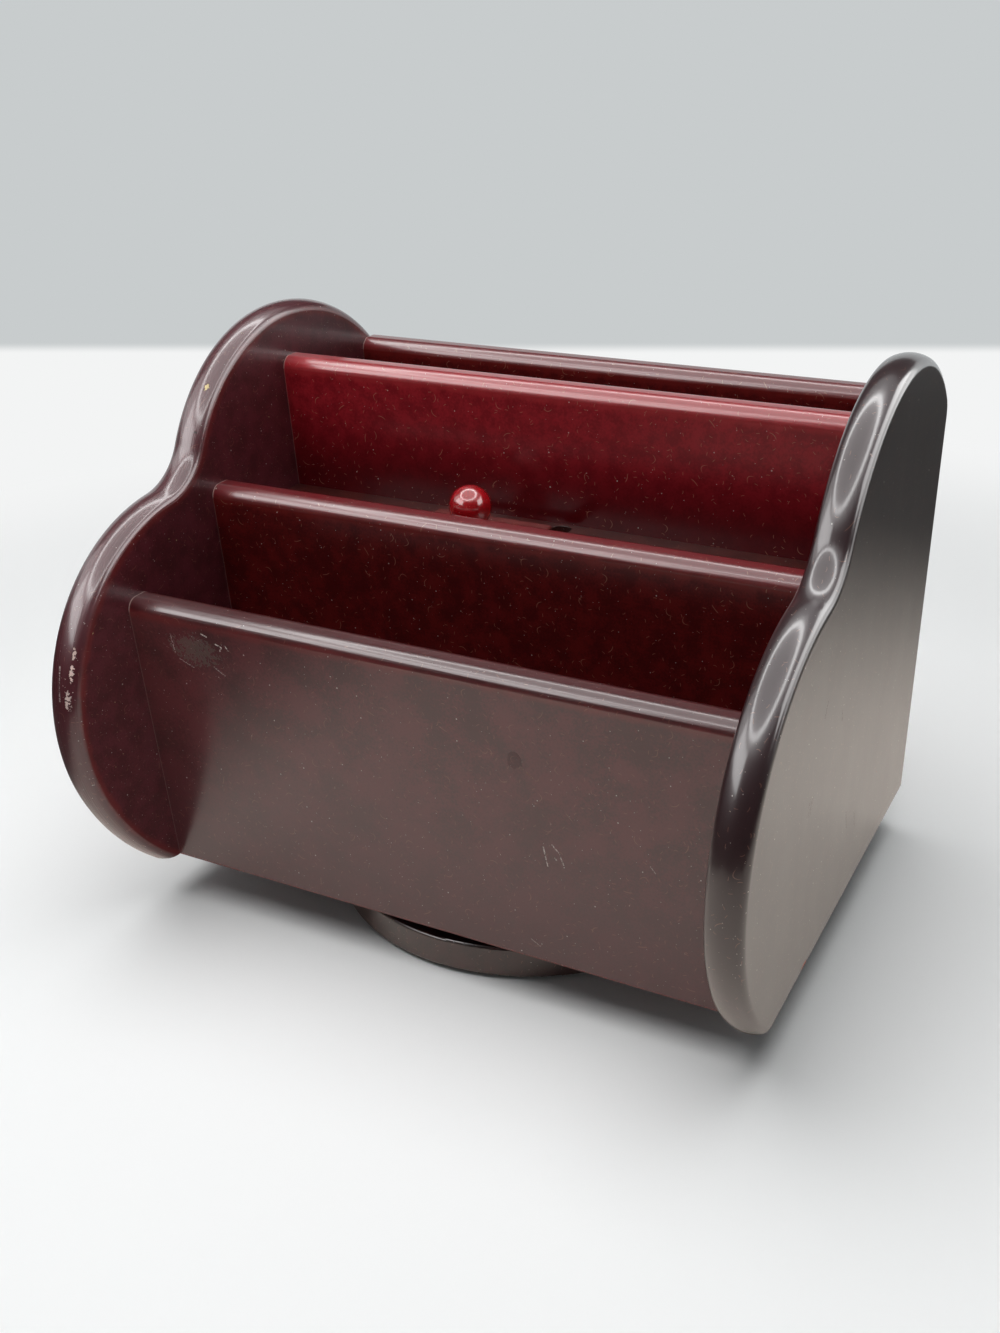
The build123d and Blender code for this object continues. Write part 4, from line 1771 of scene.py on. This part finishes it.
RIM_SCRATCHES = (
    Scratch((-143.2, -132.8, 133.4), (-142.6, -137.4, 120.3), width=0.5, strength=0.6),
)
RUBBED_SPOT = ChipCluster(
    (RIGHT_X, -69.0, 106.0), reach=(2.0, 7.0, 9.0), grain=1.0, cover=0.2, colour="4A3A30", strength=0.5
)
RIGHT_CHIPS = (
    ChipCluster((145.5, -121.9, 90.6), reach=(2.0, 2.0, 3.5), grain=1.4, cover=0.32, colour="CDB79A"),
    ChipCluster((RIGHT_X, -59.2, 25.5), reach=(3.0, 5.0, 2.5), grain=1.6, cover=0.36, colour="8E4A38"),
    RUBBED_SPOT,
)
RIGHT_SCRATCHES = (
    Scratch((RIGHT_X, -56.4, 143.8), (RIGHT_X, -59.4, 137.8), width=0.6, strength=0.6, colour=TICK),
    Scratch((RIGHT_X, -34.6, 129.2), (RIGHT_X, -34.1, 124.6), width=0.6, strength=0.6, colour=TICK),
    Scratch((RIGHT_X, -13.1, 71.9), (RIGHT_X, -10.2, 62.4), width=0.6, strength=0.6, colour=TICK),
    Scratch((RIGHT_X, 1.3, 63.6), (RIGHT_X, 4.0, 55.0), width=0.6, strength=0.6, colour=TICK),
    Scratch((RIGHT_X, -5.5, 208.3), (RIGHT_X, -5.1, 207.7), width=0.5, strength=0.7),
    Scratch((RIGHT_X, 37.7, 227.4), (RIGHT_X, 38.1, 227.0), width=0.5, strength=0.7),
    Scratch((RIGHT_X, 72.4, 189.8), (RIGHT_X, 73.0, 189.4), width=0.5, strength=0.7),
)
SCUFF = ChipCluster(
    (-102.5, FRONT_Y, 134.0), reach=(22.0, 3.0, 11.5), grain=1.3, cover=0.31, colour="5C5148", strength=0.5
)
STAIN = ChipCluster(
    (44.5, FRONT_Y, 117.2), reach=(4.4, 2.0, 5.4), grain=6.0, cover=0.6, colour="331B1C", strength=0.3
)
FRONT_SCRATCHES = (
    Scratch((-97.8, FRONT_Y, 142.0), (-95.4, FRONT_Y, 141.2), width=0.45, strength=0.9),
    Scratch((-91.5, FRONT_Y, 138.8), (-88.6, FRONT_Y, 137.7), width=0.45, strength=0.9),
    Scratch((-88.6, FRONT_Y, 137.7), (-89.5, FRONT_Y, 136.0), width=0.4, strength=0.7),
    Scratch((-86.6, FRONT_Y, 138.8), (-85.2, FRONT_Y, 137.0), width=0.4, strength=0.8),
    Scratch((-114.5, FRONT_Y, 139.0), (-113.6, FRONT_Y, 131.0), width=0.4, strength=0.35),
    Scratch((-112.0, FRONT_Y, 128.5), (-105.0, FRONT_Y, 125.8), width=0.4, strength=0.3),
    Scratch((-94.0, FRONT_Y, 128.0), (-89.0, FRONT_Y, 125.0), width=0.4, strength=0.35),
    Scratch((55.2, FRONT_Y, 81.2), (56.9, FRONT_Y, 72.5), width=0.4, strength=0.7),
    Scratch((59.0, FRONT_Y, 83.0), (61.8, FRONT_Y, 80.2), width=0.38, strength=0.7),
    Scratch((61.8, FRONT_Y, 80.2), (63.7, FRONT_Y, 75.1), width=0.38, strength=0.7),
    Scratch((60.1, FRONT_Y, 77.3), (60.9, FRONT_Y, 76.1), width=0.4, strength=0.6),
    Scratch((47.4, FRONT_Y, 114.3), (53.1, FRONT_Y, 110.0), width=0.35, strength=0.5, colour="8A5A40"),
    Scratch((48.0, FRONT_Y, 34.5), (52.0, FRONT_Y, 32.0), width=0.3, strength=0.3),
    Scratch((100.0, FRONT_Y, 84.5), (102.0, FRONT_Y, 82.0), width=0.3, strength=0.3),
    Scratch((-134.0, FRONT_Y, 25.5), (134.0, FRONT_Y, 25.5), width=0.6, strength=0.7, colour=RUBBED),
)
LEFT_LACQUER = Lacquer(
    "dark_mahogany_lacquer", "47181D", "5A222A", "7A2A28", "4A1820",
    lines=0.15, under_gloss=0.3, face_coat=0.5, coat_roughness=0.15, chips=RIM_CHIPS, scratches=RIM_SCRATCHES,
)
RIGHT_LACQUER = Lacquer(
    "black_mahogany_lacquer", "1C0F0E", "281412", "301512", "2A1418",
    edge_share=0.2, lines=0.012, coat_roughness=0.13, chips=RIGHT_CHIPS, scratches=RIGHT_SCRATCHES,
)
# The front panel's lower band is a painted reflection: a purplish tint that grows towards the bottom.
FRONT_LACQUER = Lacquer(
    "brown_mahogany_lacquer", "43181A", "5A2226", "6E1E1C", "3C0A0D", under_gloss=0.35, mottle_size=15.0,
    end_line=BOARD_END, shade=PaintedLightBand("42141C", 30.0, 120.0, 0.7),
    chips=(SCUFF, STAIN), scratches=FRONT_SCRATCHES,
)
MIDDLE_LACQUER = Lacquer(
    "wine_mahogany_lacquer", "480D0E", "5E1414", "74201E", "641319",
    dust_and_sheen=0.0, under_gloss=0.1, face_coat=0.4, fibre_share=0.55, end_line=BOARD_END,
)
# The rear divider's lower band is painted shade: darker towards the shelf, down in the bay.
REAR_LACQUER = Lacquer(
    "red_mahogany_lacquer", "78101A", "921A24", "A02A2E", "981C24", dust_and_sheen=0.0, under_gloss=0.1, face_coat=0.35,
    fibre_share=0.6, end_line=BOARD_END, shade=PaintedLightBand("3E0308", 166.0, 206.0, 0.85),
)
LID_LACQUER = Lacquer("red_lid_lacquer", "5E2524", "6E302C", "A86A60", "6E302C", dust_and_sheen=0.0)
SHELF_LACQUER = Lacquer("umber_mahogany_lacquer", "30110E", "421915", "6E2B20", "30110E")
BASE_LACQUER = Lacquer("ebonised_lacquer", "2A1211", "381818", "5A2220", "2A1211")
KNOB_LACQUER = Lacquer(
    "red_gloss_lacquer", "8E0C14", "A81019", "B52A22", "A81019",
    dust_and_sheen=0.0, base_roughness=0.2, coat_roughness=0.12,
)
ZINC_SCREW = BareFinish("yellow_zinc_steel", "A08B52", "C9B87A", 1.0, 0.32, (0.6, 0.6, 0.6), 0.002)
BEECH_DOWEL = BareFinish("pressed_beech", "A87F52", "CBA475", 0.0, 0.6, (6.0, 0.5, 0.5), 0.03)
TURNED_ALUMINIUM = BareFinish("turned_aluminium", "B8B9BB", "D2D3D6", 1.0, 0.3, (1.0, 1.0, 0.2), 0.003)
BALL_STEEL = BareFinish("polished_bearing_steel", "C9CACC", "DCDDDF", 1.0, 0.08, (1.5, 1.5, 1.5), 0.0005)
CAGE_NYLON = BareFinish("moulded_nylon", "D8D4C6", "E6E2D6", 0.0, 0.45, (1.2, 1.2, 1.2), 0.005, ior=1.53)
WOOL_FELT = BareFinish("pressed_wool_felt", "0E0E10", "1E1E21", 0.0, 0.95, (0.7, 0.7, 0.4), 0.15, sheen=0.4)


def main() -> None:
    """Build every sub-assembly and the studio."""
    logging.basicConfig(level=logging.INFO, format="%(name)s: %(message)s")
    SidePanels({"left_side_panel": LEFT_LACQUER, "right_side_panel": RIGHT_LACQUER}).build()
    boards = {"front_panel": FRONT_LACQUER, "middle_divider": MIDDLE_LACQUER}
    CrossBoards(boards | {"rear_divider": REAR_LACQUER, "back_panel": MIDDLE_LACQUER}).build()
    InnerBoards(SHELF_LACQUER).build()
    Lid(LID_LACQUER, KNOB_LACQUER, SHELF_LACQUER).build()
    Fixings(ZINC_SCREW, BEECH_DOWEL).build()
    Turntable(TURNED_ALUMINIUM, BALL_STEEL, CAGE_NYLON).build()
    Base(BASE_LACQUER, WOOL_FELT).build()
    Studio().build()


if __name__ == "__main__":
    main()
